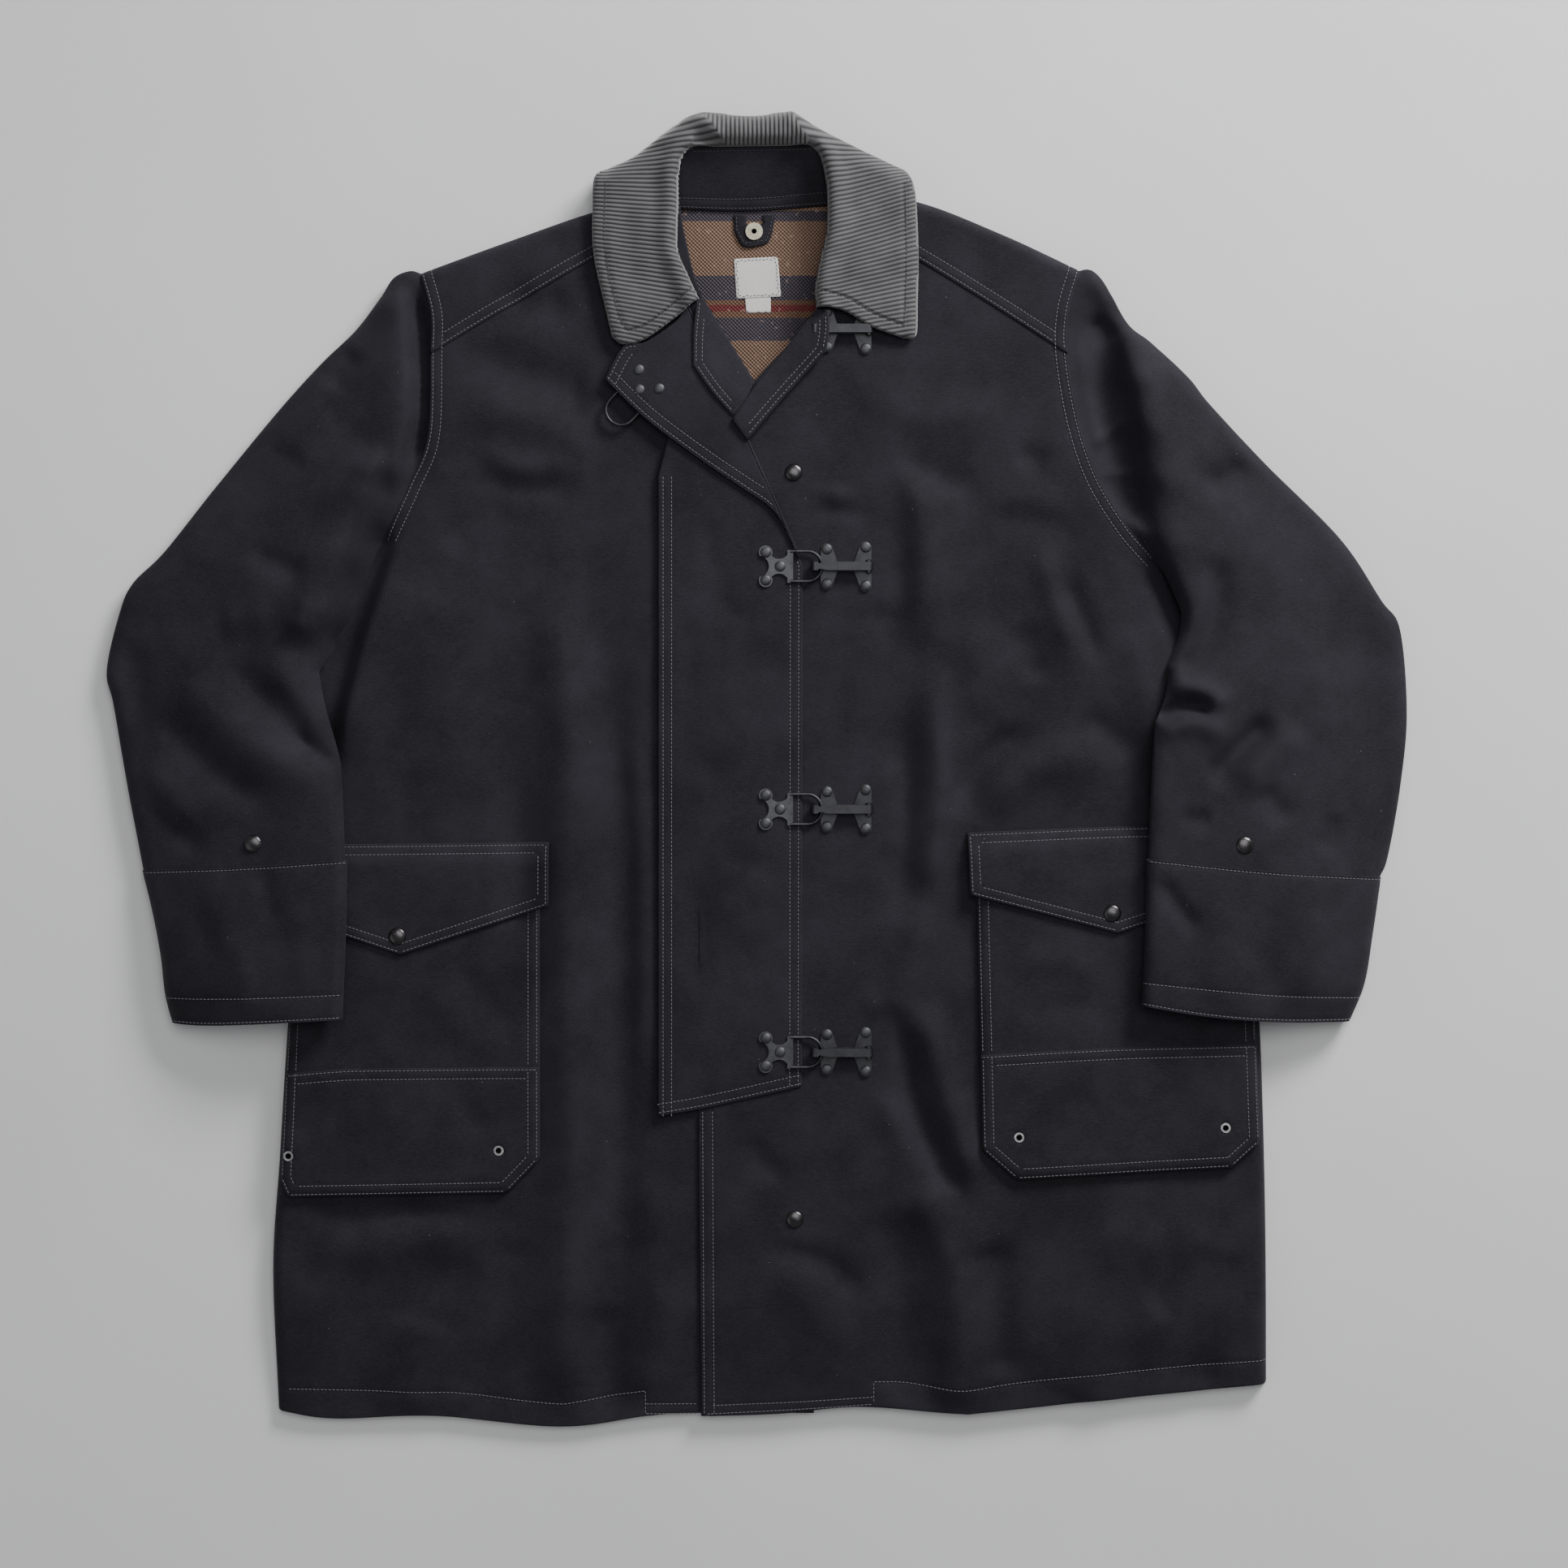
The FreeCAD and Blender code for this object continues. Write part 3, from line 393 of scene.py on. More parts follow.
def smooth(t):
    """Smooth step from 0 to 1."""
    t = np.clip(t, 0, 1)
    return t * t * (3 - 2 * t)


def rolled(d, width):
    """Quarter-round rise from 0 at an edge to 1 at the given width inside it."""
    return np.sqrt(np.maximum(0.0, 1 - (1 - np.clip(d / width, 0, 1)) ** 2))


def offset(line, side):
    """The line moved sideways: positive is to the left of its direction."""
    line = np.asarray(line, float)
    step = np.gradient(line, axis=0)
    step /= np.maximum(np.hypot(step[:, 0], step[:, 1])[:, None], 1e-9)
    return line + np.stack([-step[:, 1], step[:, 0]], 1) * side


def twin(line, side=1, first=EDGE_ROW):
    """Two rows of sewing beside an edge."""
    return [offset(line, side * first), offset(line, side * (first + TWIN_GAP))]


# ------------------------------------------------------------------ folds and unevenness


def ridge(points, height, near, far=None, ends=0.3):
    """A soft fold along a curve: near and far are its widths left and right of its direction."""
    return (curve(*points, step=6.0), height, near, far or near, ends)


def fold_height(x, y, folds):
    """Sum of the folds' heights."""
    total = np.zeros(len(x))
    for line, height, near, far, ends in folds:
        reach = 3 * max(near, far)
        low, high = line.min(0) - reach, line.max(0) + reach
        pick = (x > low[0]) & (x < high[0]) & (y > low[1]) & (y < high[1])
        if not pick.any():
            continue
        px, py = x[pick][:, None], y[pick][:, None]
        a, ab = line[:-1], line[1:] - line[:-1]
        length = np.hypot(ab[:, 0], ab[:, 1])
        t = np.clip(((px - a[:, 0]) * ab[:, 0] + (py - a[:, 1]) * ab[:, 1]) / length**2, 0, 1)
        dx, dy = px - a[:, 0] - t * ab[:, 0], py - a[:, 1] - t * ab[:, 1]
        d2 = dx**2 + dy**2
        nearest = d2.argmin(1)
        rows = np.arange(len(nearest))
        side = (ab[nearest, 0] * dy[rows, nearest] - ab[nearest, 1] * dx[rows, nearest]) > 0
        along = np.concatenate([[0], np.cumsum(length)])
        s = (along[nearest] + t[rows, nearest] * length[nearest]) / along[-1]
        width = np.where(side, near, far)
        fade = smooth(s / ends) * smooth((1 - s) / ends) if ends else 1.0
        total[pick] += height * np.exp(-d2[rows, nearest] / width**2) * fade
    return total


def unevenness(x, y, size, seed):
    """Smooth random relief from -1 to 1 with features of the given size."""
    lattice = np.random.RandomState(seed).uniform(-1, 1, (64, 64))
    u, v = x / size + 31.37, y / size + 17.71
    iu, iv = np.floor(u).astype(int), np.floor(v).astype(int)
    fu, fv = smooth(u - iu), smooth(v - iv)
    a, b = lattice[iu % 64, iv % 64], lattice[(iu + 1) % 64, iv % 64]
    c, d = lattice[iu % 64, (iv + 1) % 64], lattice[(iu + 1) % 64, (iv + 1) % 64]
    return (a * (1 - fu) + b * fu) * (1 - fv) + (c * (1 - fu) + d * fu) * fv


def surface_through(points):
    """A thin-plate surface through given (x, y, z) points."""
    p = np.array(points, float)
    n = len(p)

    def kernel(r2):
        return 0.5 * r2 * np.log(np.maximum(r2, 1e-9))

    r2 = (p[:, None, 0] - p[None, :, 0]) ** 2 + (p[:, None, 1] - p[None, :, 1]) ** 2
    system = np.zeros((n + 3, n + 3))
    system[:n, :n] = kernel(r2)
    system[:n, n:] = np.stack([np.ones(n), p[:, 0], p[:, 1]], 1)
    system[n:, :n] = system[:n, n:].T
    weights = np.linalg.solve(system, np.concatenate([p[:, 2], np.zeros(3)]))

    def height(x, y):
        total = weights[n] + weights[n + 1] * x + weights[n + 2] * y
        for (px, py, _), w in zip(p, weights[:n]):
            total = total + w * kernel((x - px) ** 2 + (y - py) ** 2)
        return total

    return height


# ------------------------------------------------------------------ meshes


def triangulated(outline, inner):
    """Points and upward-facing triangles of an outline with more points inside it."""
    points = [Vector(q) for q in outline] + [Vector(q) for q in inner]
    count = len(outline)
    edges = [(k, (k + 1) % count) for k in range(count)]
    found = geometry.delaunay_2d_cdt(points, edges, [], 1, 1e-5)
    verts = np.array([(v.x, v.y) for v in found[0]])
    tris = np.array([f for f in found[2] if len(f) == 3])
    a, b, c = (verts[tris[:, k]] for k in range(3))
    area = (b[:, 0] - a[:, 0]) * (c[:, 1] - a[:, 1]) - (b[:, 1] - a[:, 1]) * (c[:, 0] - a[:, 0])
    tris = tris[np.abs(area) > 1e-7]
    area = area[np.abs(area) > 1e-7]
    tris[area < 0] = tris[area < 0][:, ::-1]
    return verts, tris


def plan_mesh(outline, grid, extra=(), holes=()):
    """A triangulated plan of the outline: points, triangles and the points on its border."""
    low, high = outline.min(0), outline.max(0)
    cloud = []
    for k, y in enumerate(np.arange(low[1], high[1], grid * 0.866)):
        xs = np.arange(low[0] + (k % 2) * grid / 2, high[0], grid)
        cloud.append(np.stack([xs, np.full(len(xs), y)], 1))
    cloud = kept_inside(np.concatenate(cloud), outline, 0.75 * grid)
    for line in extra:
        cloud = cloud[distance(cloud[:, 0], cloud[:, 1], line) > 0.45 * grid]
    parts = [cloud]
    closed = np.concatenate([outline, outline[:1]])
    for inset in (0.35, 0.9, 1.8):
        parts += [kept_inside(offset(closed, side * inset), outline, 0.93 * inset) for side in (-1, 1)]
    parts += [kept_inside(line, outline, 0.5) for line in extra]
    angle = np.linspace(0, 2 * math.pi, 28, endpoint=False)
    for hx, hy, radius in holes:
        for r in (radius, radius + 0.4, radius + 1.0):
            parts.append(np.stack([hx + r * np.cos(angle), hy + r * np.sin(angle)], 1))
    inner = np.concatenate(parts)
    for hx, hy, radius in holes:
        far = np.hypot(inner[:, 0] - hx, inner[:, 1] - hy)
        inner = inner[(far > radius + 0.3) | (np.abs(far - radius) < 1e-6)]
    verts, tris = triangulated(outline, inner)
    for hx, hy, radius in holes:
        middle = verts[tris].mean(1)
        tris = tris[np.hypot(middle[:, 0] - hx, middle[:, 1] - hy) > radius * 0.98]
    used = np.unique(tris)
    back_to = np.full(len(verts), -1)
    back_to[used] = np.arange(len(used))
    verts, tris = verts[used], back_to[tris]
    sides = np.sort(np.concatenate([tris[:, [0, 1]], tris[:, [1, 2]], tris[:, [2, 0]]]), axis=1)
    pairs, times = np.unique(sides, axis=0, return_counts=True)
    border = np.zeros(len(verts), bool)
    border[np.unique(pairs[times == 1])] = True
    return verts, tris, border


def new_object(name, points, faces, material, body="root"):
    """A mesh object from millimetre points, riding on a body."""
    mesh = bpy.data.meshes.new(name)
    mesh.from_pydata((np.asarray(points) * MM).tolist(), [], [list(map(int, f)) for f in faces])
    mesh.validate()
    mesh.polygons.foreach_set("use_smooth", [True] * len(mesh.polygons))
    mesh.update()
    obj = bpy.data.objects.new(name, mesh)
    bpy.context.scene.collection.objects.link(obj)
    mesh.materials.append(material)
    if body:
        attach(obj, body)
    return obj


def stands_for(piece, *nodes, slot="duck_canvas"):
    """Hides the CAD nodes that a piece stands for; neither the piece nor the slot is used here."""
    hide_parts(*nodes)


def thicken(obj, thickness, side):
    """Gives a surface a thickness: side 0 is to both sides of it, and -1 is behind it."""
    wall = obj.modifiers.new("wall", "SOLIDIFY")
    wall.thickness = thickness * MM
    wall.offset = side
    graph = bpy.context.evaluated_depsgraph_get()
    solid = bpy.data.meshes.new_from_object(obj.evaluated_get(graph))
    obj.modifiers.clear()
    obj.data = solid


def closed_solid(x, y, upper, lower, tris, shared):
    """Points and faces of an upper and a lower surface that meet at their shared points."""
    count = len(x)
    below = np.full(count, -1)
    below[~shared] = count + np.arange((~shared).sum())
    below[shared] = np.nonzero(shared)[0]
    points = np.concatenate([np.column_stack([x, y, upper]), np.column_stack([x, y, lower])[~shared]])
    return points, np.concatenate([tris, below[tris][:, ::-1]])


def beside_rows(rows):
    """Mesh lines on and beside each row of sewing, so that its groove has points to bend at."""
    return [offset(row, side) for row in rows for side in (-1.1, 0.0, 1.1)]


def sewn_in(x, y, rows, depth=0.45):
    """How far the cloth is pulled down along its rows of sewing."""
    drop = np.zeros(len(x))
    for row in rows:
        low, high = row.min(0) - 4, row.max(0) + 4
        pick = (x > low[0]) & (x < high[0]) & (y > low[1]) & (y < high[1])
        if pick.any():
            d = distance(x[pick], y[pick], row)
            drop[pick] = np.maximum(drop[pick], depth * np.exp(-((d / 0.95) ** 2)))
    return drop


def cloth_sheet(
    name, outline, top, material, thickness=CLOTH, drop=CLOTH, roll=0.9, rows=(), grid=GRID,
    holes=(), depth=0.45, seam=0.35, body="root",
):
    """A closed sheet of cloth whose upper face is top(x, y) and whose border rolls down by drop."""
    verts, tris, border = plan_mesh(outline, grid, beside_rows(rows), holes)
    x, y = verts[:, 0], verts[:, 1]
    edge = distance(x, y, outline, closed=True)
    for hx, hy, radius in holes:
        edge = np.minimum(edge, np.maximum(0, np.hypot(x - hx, y - hy) - radius))
    edge[border] = 0
    fall = drop(x, y) if callable(drop) else np.full(len(x), float(drop))
    upper = top(x, y) - fall * (1 - rolled(edge, roll)) - sewn_in(x, y, rows, depth)
    if rows:
        upper += seam * smooth(edge / 2) * smooth((10.5 - edge) / 3)
    lower = upper - thickness * rolled(edge, 0.6)
    return new_object(name, *closed_solid(x, y, upper, lower, tris, border), material, body)


def cloth_tube(name, outline, open_ends, top, bottom, round_width, rows=()):
    """A flattened tube of canvas: upper and lower faces joined along its side folds, open at its ends."""
    verts, tris, border = plan_mesh(outline, GRID, beside_rows(rows))
    x, y = verts[:, 0], verts[:, 1]
    after = np.roll(outline, -1, axis=0)
    middle_x, middle_y = (0.5 * (outline + after)).T
    folded = np.minimum.reduce([distance(middle_x, middle_y, run) for run in open_ends]) > 0.05
    edge = segment_distance(x, y, outline[folded], after[folded])
    high, low = top(x, y), bottom(x, y)
    middle = 0.5 * (high + low)
    rise = rolled(edge, round_width)
    upper = middle + (high - middle) * rise - sewn_in(x, y, rows)
    lower = middle + (low - middle) * rise
    obj = new_object(name, *closed_solid(x, y, upper, lower, tris, border & (edge < 1e-4)), DUCK)
    thicken(obj, CLOTH, -1)
    return obj


# Stations along a stitch: place from -0.5 to 0.5 of its length, then width and rise in thread widths.
STATIONS = [(-0.5, 0.25, -0.35), (-0.34, 0.85, 0.0), (0.0, 1.0, 0.12), (0.34, 0.85, 0.0), (0.5, 0.25, -0.35)]
STITCH_SIDES = 6


def stitches(
    name, rows, top, material=THREAD, thickness=THREAD_RADIUS, lift=0.1, body="root"
):
    """Rows of separate stitches lying in the cloth."""
    rng = np.random.RandomState(len(rows) * 7 + len(name))
    around = [k * 2 * math.pi / STITCH_SIDES for k in range(STITCH_SIDES)]
    centres, heads = [], []
    for row in rows:
        step = np.hypot(*np.diff(row, axis=0).T)
        along = np.concatenate([[0], np.cumsum(step)])
        at = np.arange(STITCH_PITCH / 2, along[-1], STITCH_PITCH)
        x, y = np.interp(at, along, row[:, 0]), np.interp(at, along, row[:, 1])
        ahead = np.interp(at + 0.8, along, row[:, 0]), np.interp(at + 0.8, along, row[:, 1])
        behind = np.interp(at - 0.8, along, row[:, 0]), np.interp(at - 0.8, along, row[:, 1])
        centres.append(np.column_stack([x, y]))
        heads.append(np.column_stack([ahead[0] - behind[0], ahead[1] - behind[1]]))
    centres, heads = np.concatenate(centres), np.concatenate(heads)
    heads /= np.maximum(np.hypot(heads[:, 0], heads[:, 1])[:, None], 1e-9)
    turn = rng.normal(0, 0.05, len(heads))
    cos, sin = np.cos(turn), np.sin(turn)
    heads = np.column_stack([heads[:, 0] * cos - heads[:, 1] * sin, heads[:, 0] * sin + heads[:, 1] * cos])
    half = STITCH_LENGTH / 2
    front = top(centres[:, 0] + heads[:, 0] * half, centres[:, 1] + heads[:, 1] * half)
    rear = top(centres[:, 0] - heads[:, 0] * half, centres[:, 1] - heads[:, 1] * half)
    middle = top(centres[:, 0], centres[:, 1])
    points, faces = [], []
    for (cx, cy), (hx, hy), z0, z1, zm in zip(centres, heads, rear, front, middle):
        base = len(points)
        for along_part, width, dip in STATIONS:
            s = along_part * STITCH_LENGTH
            level = zm + (z1 - z0) * along_part + dip * thickness * 2 + lift
            for angle in around:
                side = math.cos(angle) * thickness * width
                up = math.sin(angle) * thickness * width * 0.8
                points.append((cx + hx * s - hy * side, cy + hy * s + hx * side, level + up))
        for ring in range(len(STATIONS) - 1):
            for k in range(STITCH_SIDES):
                a = base + ring * STITCH_SIDES + k
                b = base + ring * STITCH_SIDES + (k + 1) % STITCH_SIDES
                faces.append((a, b, b + STITCH_SIDES, a + STITCH_SIDES))
        faces.append(tuple(base + k for k in reversed(range(STITCH_SIDES))))
        last = base + (len(STATIONS) - 1) * STITCH_SIDES
        faces.append(tuple(last + k for k in range(STITCH_SIDES)))
    sewing = new_object(name, points, faces, material, body)
    return sewing


def cut_area(outline):
    """Area inside a closed outline, in square metres."""
    after = np.roll(outline, -1, axis=0)
    return float(abs(np.sum(outline[:, 0] * after[:, 1] - outline[:, 1] * after[:, 0]))) / 2 * MM * MM


def declare_cut(piece, outline, layers=1, fullness=1.02):
    """Works out the flat cut that a cloth piece is sewn from, its size and its area inside that, and does
    nothing with them.
    """
    wide, tall = (float(side) * fullness * MM for side in np.ptp(outline, axis=0))
    cut_area(outline) * layers * fullness**2


# ------------------------------------------------------------------ outlines of the coat (mm)

RIGHT_SHOULDER = curve((-58, 425), (-118, 412), (-185, 389), (-248, 366))
RIGHT_ARMHOLE = curve((-248, 366), (-240, 335), (-240, 305), (-242, 245), (-256, 209), (-274, 170))
RIGHT_SIDE = curve(
    (-274, 170), (-296, 146), (-312, 118), (-327, 88), (-331, 59), (-334, -31), (-346, -186),
    (-352, -283), (-357, -367), (-353, -472),
)
RIGHT_HEM = curve(
    (-353, -472), (-312, -478), (-239, -476), (-145, -484), (-80, -476), (-42, -474), (40, -474)
)
OVERLAP_EDGE = straight((42, -474), (42, 233))
RIGHT_NECK = curve((-2, 285), (-39, 346), (-52, 389), (-58, 425))
RIGHT_BODY = joined(
    RIGHT_SHOULDER, RIGHT_ARMHOLE, RIGHT_SIDE, RIGHT_HEM, OVERLAP_EDGE,
    straight((42, 233), (-2, 285)), RIGHT_NECK,
)

LEFT_SHOULDER = curve((58, 425), (117, 419), (180, 395), (238, 368))
LEFT_ARMHOLE = curve((238, 368), (229, 336), (228, 305), (236, 257), (250, 215), (272, 179), (293, 155))
LEFT_SIDE = curve(
    (293, 155), (313, 128), (334, 59), (350, -1), (364, -91), (371, -187), (375, -319), (376, -452)
)
LEFT_HEM = curve((376, -452), (272, -462), (170, -473), (146, -474), (76, -469), (16, -474), (-41, -476))
LEFT_FREE_EDGE = curve((-41, -476), (-43, -250), (-42, 149), (-33, 209))
LEFT_NECK = curve((-2, 285), (44, 338), (51, 378), (58, 425))
LEFT_BODY = joined(
    LEFT_SHOULDER, LEFT_ARMHOLE, LEFT_SIDE, LEFT_HEM, LEFT_FREE_EDGE,
    straight((-33, 209), (-2, 285)), LEFT_NECK,
)

BACK_BODY = joined(
    straight((-58, 425), (-48, 440), (48, 440), (58, 425)),
    LEFT_SHOULDER, LEFT_ARMHOLE, LEFT_SIDE, LEFT_HEM,
    straight((-41, -476), (-42, -474)), RIGHT_HEM[::-1][np.searchsorted(-RIGHT_HEM[::-1][:, 0], 42) :],
    RIGHT_SIDE[::-1], RIGHT_ARMHOLE[::-1], RIGHT_SHOULDER[::-1],
)

# Hardware that the cloth lies flat under: (x, y, half width, half depth).
CLASPS = [middle_of("hook_base_%d" % k) for k in (1, 2, 3)]
THROAT_CLASP = middle_of("hook_base_4")
FLAT_PLACES = [(40, clasp.y, 52, 20) for clasp in CLASPS] + [
    (THROAT_CLASP.x, THROAT_CLASP.y, 26, 22),
    (27, 218, 9, 9), (28, -330, 9, 9),
    (-263, -122, 9, 9), (260, -105, 9, 9),
    (-343, -283, 6, 6), (-189, -279, 6, 6), (192, -269, 6, 6), (343, -262, 6, 6),
    (-40, 270, 75, 75),
]


def calm(x, y):
    """0 where hardware needs flat cloth, 1 away from it."""
    amount = np.ones(len(x))
    for px, py, half_x, half_y in FLAT_PLACES:
        dx = np.maximum(0, np.abs(x - px) - half_x)
        dy = np.maximum(0, np.abs(y - py) - half_y)
        amount = np.minimum(amount, smooth(np.hypot(dx, dy) / HOOK_CALM))
    return amount


BODY_FOLDS = [
    # right chest and skirt
    ridge([(-190, 360), (-165, 340), (-135, 352)], -2.4, 15),
    ridge([(-225, 300), (-181, 292), (-145, 282), (-100, 262)], -3.4, 17),
    ridge([(-225, 262), (-185, 262), (-140, 246), (-105, 225)], 2.8, 17),
    ridge([(-212, 236), (-185, 226), (-165, 222), (-125, 226)], 2.0, 9),
    ridge([(-212, 214), (-185, 207), (-165, 204), (-125, 208)], -1.8, 9),
    ridge([(-232, 158), (-201, 187), (-175, 202)], -2.4, 12),
    ridge([(-255, 150), (-235, 80), (-225, 0), (-225, -50)], 2.2, 28),
    ridge([(-262, 172), (-272, 140), (-285, 104), (-294, 66), (-300, 30), (-300, -5)], 3.6, 24, 7),
    ridge(
        [(-150, 150), (-140, 60), (-137, -40), (-140, -150), (-136, -260), (-140, -380), (-145, -484)],
        5.2, 15, 20, ends=0.12,
    ),
    ridge(
        [(-112, 120), (-104, 20), (-101, -90), (-102, -200), (-100, -300), (-104, -420)],
        -3.6, 15, ends=0.15,
    ),
    ridge([(-180, 40), (-176, -40), (-172, -150)], -2.2, 14),
    ridge([(-95, 60), (-86, -40), (-84, -150), (-84, -260)], 1.6, 8),
    ridge([(-345, -322), (-300, -331), (-250, -326), (-190, -330)], -1.8, 8),
    ridge([(-345, -345), (-290, -352), (-230, -345), (-180, -362)], 2.2, 15),
    ridge([(-290, -440), (-250, -390), (-205, -355)], -2.4, 18),
    ridge([(-215, -470), (-185, -400), (-175, -340)], -2.2, 16, ends=0.15),
    ridge([(-255, -478), (-250, -430), (-245, -400)], 2.6, 20, ends=0.2),
    ridge([(-75, -300), (-70, -380), (-80, -470)], 2.0, 16, ends=0.15),
    ridge([(-105, -484), (-108, -440), (-112, -390)], -2.6, 14, ends=0.2),
    # left chest
    ridge([(14, 203), (40, 204), (75, 200)], 1.8, 5, 9),
    ridge([(14, 190), (45, 190), (90, 186)], -1.4, 7),
    ridge([(100, 240), (120, 190), (124, 130), (112, 80)], 3.6, 16, 12),
    ridge([(84, 190), (96, 140), (92, 80)], -2.8, 14),
    ridge([(60, 285), (110, 262), (160, 258), (200, 262)], 2.2, 20),
    ridge([(100, 232), (135, 214), (170, 203)], -2.2, 12),
    ridge([(165, 200), (200, 197), (236, 190)], 1.2, 11),
    ridge([(170, 184), (205, 182), (236, 176)], -1.2, 11),
    ridge([(190, 234), (215, 222)], -1.6, 9),
    ridge([(205, 175), (214, 140), (226, 104), (236, 70)], 2.8, 11),
    ridge([(222, 150), (238, 110), (254, 74)], -3.2, 9),
    ridge([(190, 108), (200, 88), (204, 60)], -2.2, 12),
    ridge([(150, 110), (166, 70), (160, 30)], 2.2, 16),
    ridge([(135, 80), (131, 36), (134, -10), (130, -60), (122, -100)], 4.2, 7, 17, ends=0.2),
    ridge([(112, 60), (108, 0), (106, -60), (104, -120)], -3.4, 13),
    ridge([(146, -40), (160, -2), (180, 18), (214, 30)], -3.4, 11),
    ridge([(168, -40), (190, -6), (225, 8), (262, 0)], 3.0, 16),
    ridge([(235, 44), (262, 24), (285, 8)], -2.6, 12),
    ridge([(270, 110), (284, 60), (292, 10)], 2.2, 14),
    ridge([(125, -90), (118, -130), (108, -170), (104, -210)], 3.0, 12, 16),
    # left skirt
    ridge([(96, -170), (106, -215), (118, -255), (138, -296), (158, -330)], -4.6, 10, 9, ends=0.2),
    ridge([(118, -165), (132, -212), (146, -258), (162, -306)], 3.8, 12, 10, ends=0.2),
    ridge([(82, -150), (88, -200), (98, -250), (110, -300)], 2.4, 12),
    ridge([(116, -300), (140, -350), (148, -400), (146, -474)], 4.6, 17, 15, ends=0.12),
    ridge([(92, -320), (106, -370), (108, -420), (102, -470)], -2.8, 16, ends=0.15),
    ridge([(170, -345), (176, -380), (180, -450)], -2.8, 14, ends=0.15),
    ridge([(0, -338), (30, -352), (65, -374), (80, -400)], -2.6, 12),
    ridge([(10, -368), (45, -392), (60, -430)], 2.0, 16),
    ridge([(-10, -268), (6, -288), (24, -304)], -1.6, 10),
    ridge([(230, -330), (290, -350), (350, -345)], 1.8, 18),
    ridge([(240, -470), (262, -420), (300, -390)], 2.2, 22, ends=0.15),
    ridge([(320, -460), (330, -400), (345, -350)], -1.8, 20, ends=0.15),
]
FOLD_DEPTH = 1.6  # times the listed heights


def relief(x, y):
    """Folds and unevenness that every layer of the body shares."""
    height = FOLD_DEPTH * fold_height(x, y, BODY_FOLDS)
    height += 0.75 * unevenness(x, y, 62, 3) + 0.32 * unevenness(x, y, 27, 5) + 0.12 * unevenness(x, y, 11, 9)
    return height * calm(x, y)


def hem_sag(y):
    """The fronts come down to the back at the hem."""
    return 5.0 * smooth((-385 - y) / 90)


SIDE_ROLL = 8.0
SIDE_LEVEL = 1.6


def sides_down(x, y, level, edges, hang=()):
    """Brings a front down to the back along its side and shoulder folds."""
    near = np.minimum.reduce([distance(x, y, edge) for edge in edges])
    rise = rolled(near, SIDE_ROLL)
    for line, width in hang:
        rise = np.minimum(rise, 0.12 + 0.88 * smooth(0.12 + 0.88 * distance(x, y, line) / width))
    return SIDE_LEVEL + (level - SIDE_LEVEL) * rise


# The right front's edge above the gap beside the sleeve; left of it the cloth falls away.
GAP_EDGE = curve((-302, -10), (-304, 30), (-296, 62), (-287, 96), (-275, 132), (-264, 165), (-258, 190))
GAP_FLOOR = 5.8


def gap_fall(x, y):
    """How far the right front has fallen into the gap, from 0 to 1."""
    past = np.interp(y, GAP_EDGE[:, 1], GAP_EDGE[:, 0]) - x
    return smooth((past + 2) / 13) * smooth((196 - y) / 40) * smooth((y + 12) / 40)


def right_front(x, y):
    """Top of the right front."""
    level = RIGHT_TOP + relief(x, y) - hem_sag(y)
    level -= (level - GAP_FLOOR) * gap_fall(x, y)
    return sides_down(x, y, level, [RIGHT_SHOULDER, RIGHT_SIDE])


LEFT_UNDERARM = curve((306, 140), (322, 100), (334, 60))


def left_front(x, y):
    """Top of the left front."""
    level = LEFT_TOP + relief(x, y) - hem_sag(y)
    return sides_down(x, y, level, [LEFT_SHOULDER, LEFT_SIDE], [(LEFT_UNDERARM, 26.0)])


# ------------------------------------------------------------------ shell: back, fronts, yokes


def back():
    """The back, flat on the floor."""

    def floor_level(x, y):
        return np.full(len(x), top_of("back_panel") - 0.05)

    panel = cloth_sheet("coat_back", BACK_BODY, floor_level, DUCK, drop=0.9, grid=9.0)
    stands_for(panel, "back_panel")
    declare_cut(panel, BACK_BODY)


BACK_LINING = joined(
    straight((-58, 417), (-50, 424), (50, 424), (58, 417), step=2.0),
    curve((58, 417), (117, 411), (230, 358)),
    curve((230, 358), (222, 305), (229, 252), (264, 178), (284, 150)),
    curve((284, 150), (326, 59), (356, -91), (363, -187), (367, -319), (368, -444)),
    curve((368, -444), (272, -454), (170, -465), (16, -466), (-239, -468), (-345, -464)),
    curve((-345, -464), (-344, -283), (-326, -31), (-316, 59), (-288, 146), (-266, 172)),
    curve((-266, 172), (-248, 209), (-234, 245), (-232, 305), (-240, 358)),
    curve((-240, 358), (-118, 404), (-58, 417)),
)
LINING_FOLDS = [
    ridge([(-44, 398), (-30, 372), (-34, 350)], 1.6, 7),
    ridge([(40, 400), (30, 372), (36, 350)], 1.4, 7),
    ridge([(-20, 330), (0, 318), (14, 326)], 1.2, 8),
]


def back_lining():
    """Lining of the back, with its weave in relief where the open neck shows it."""

    def level(x, y):
        weave = 0.22 * np.sin(x * np.pi / 1.1) * np.sin(y * np.pi / 1.1)
        ripple = 0.5 * unevenness(x, y, 24, 31) + 0.35 * fold_height(x, y, LINING_FOLDS)
        base = np.full(len(x), top_of("back_lining"))
        return base + np.where(y > 270, weave, 0.0) + ripple * smooth((408 - y) / 12)

    lining = cloth_sheet(
        "coat_back_lining", BACK_LINING, level, BLANKET, thickness=LINING - 0.1, drop=1.2, grid=9.0
    )
    stands_for(lining, "back_lining", slot="blanket_lining")
    declare_cut(lining, BACK_LINING)


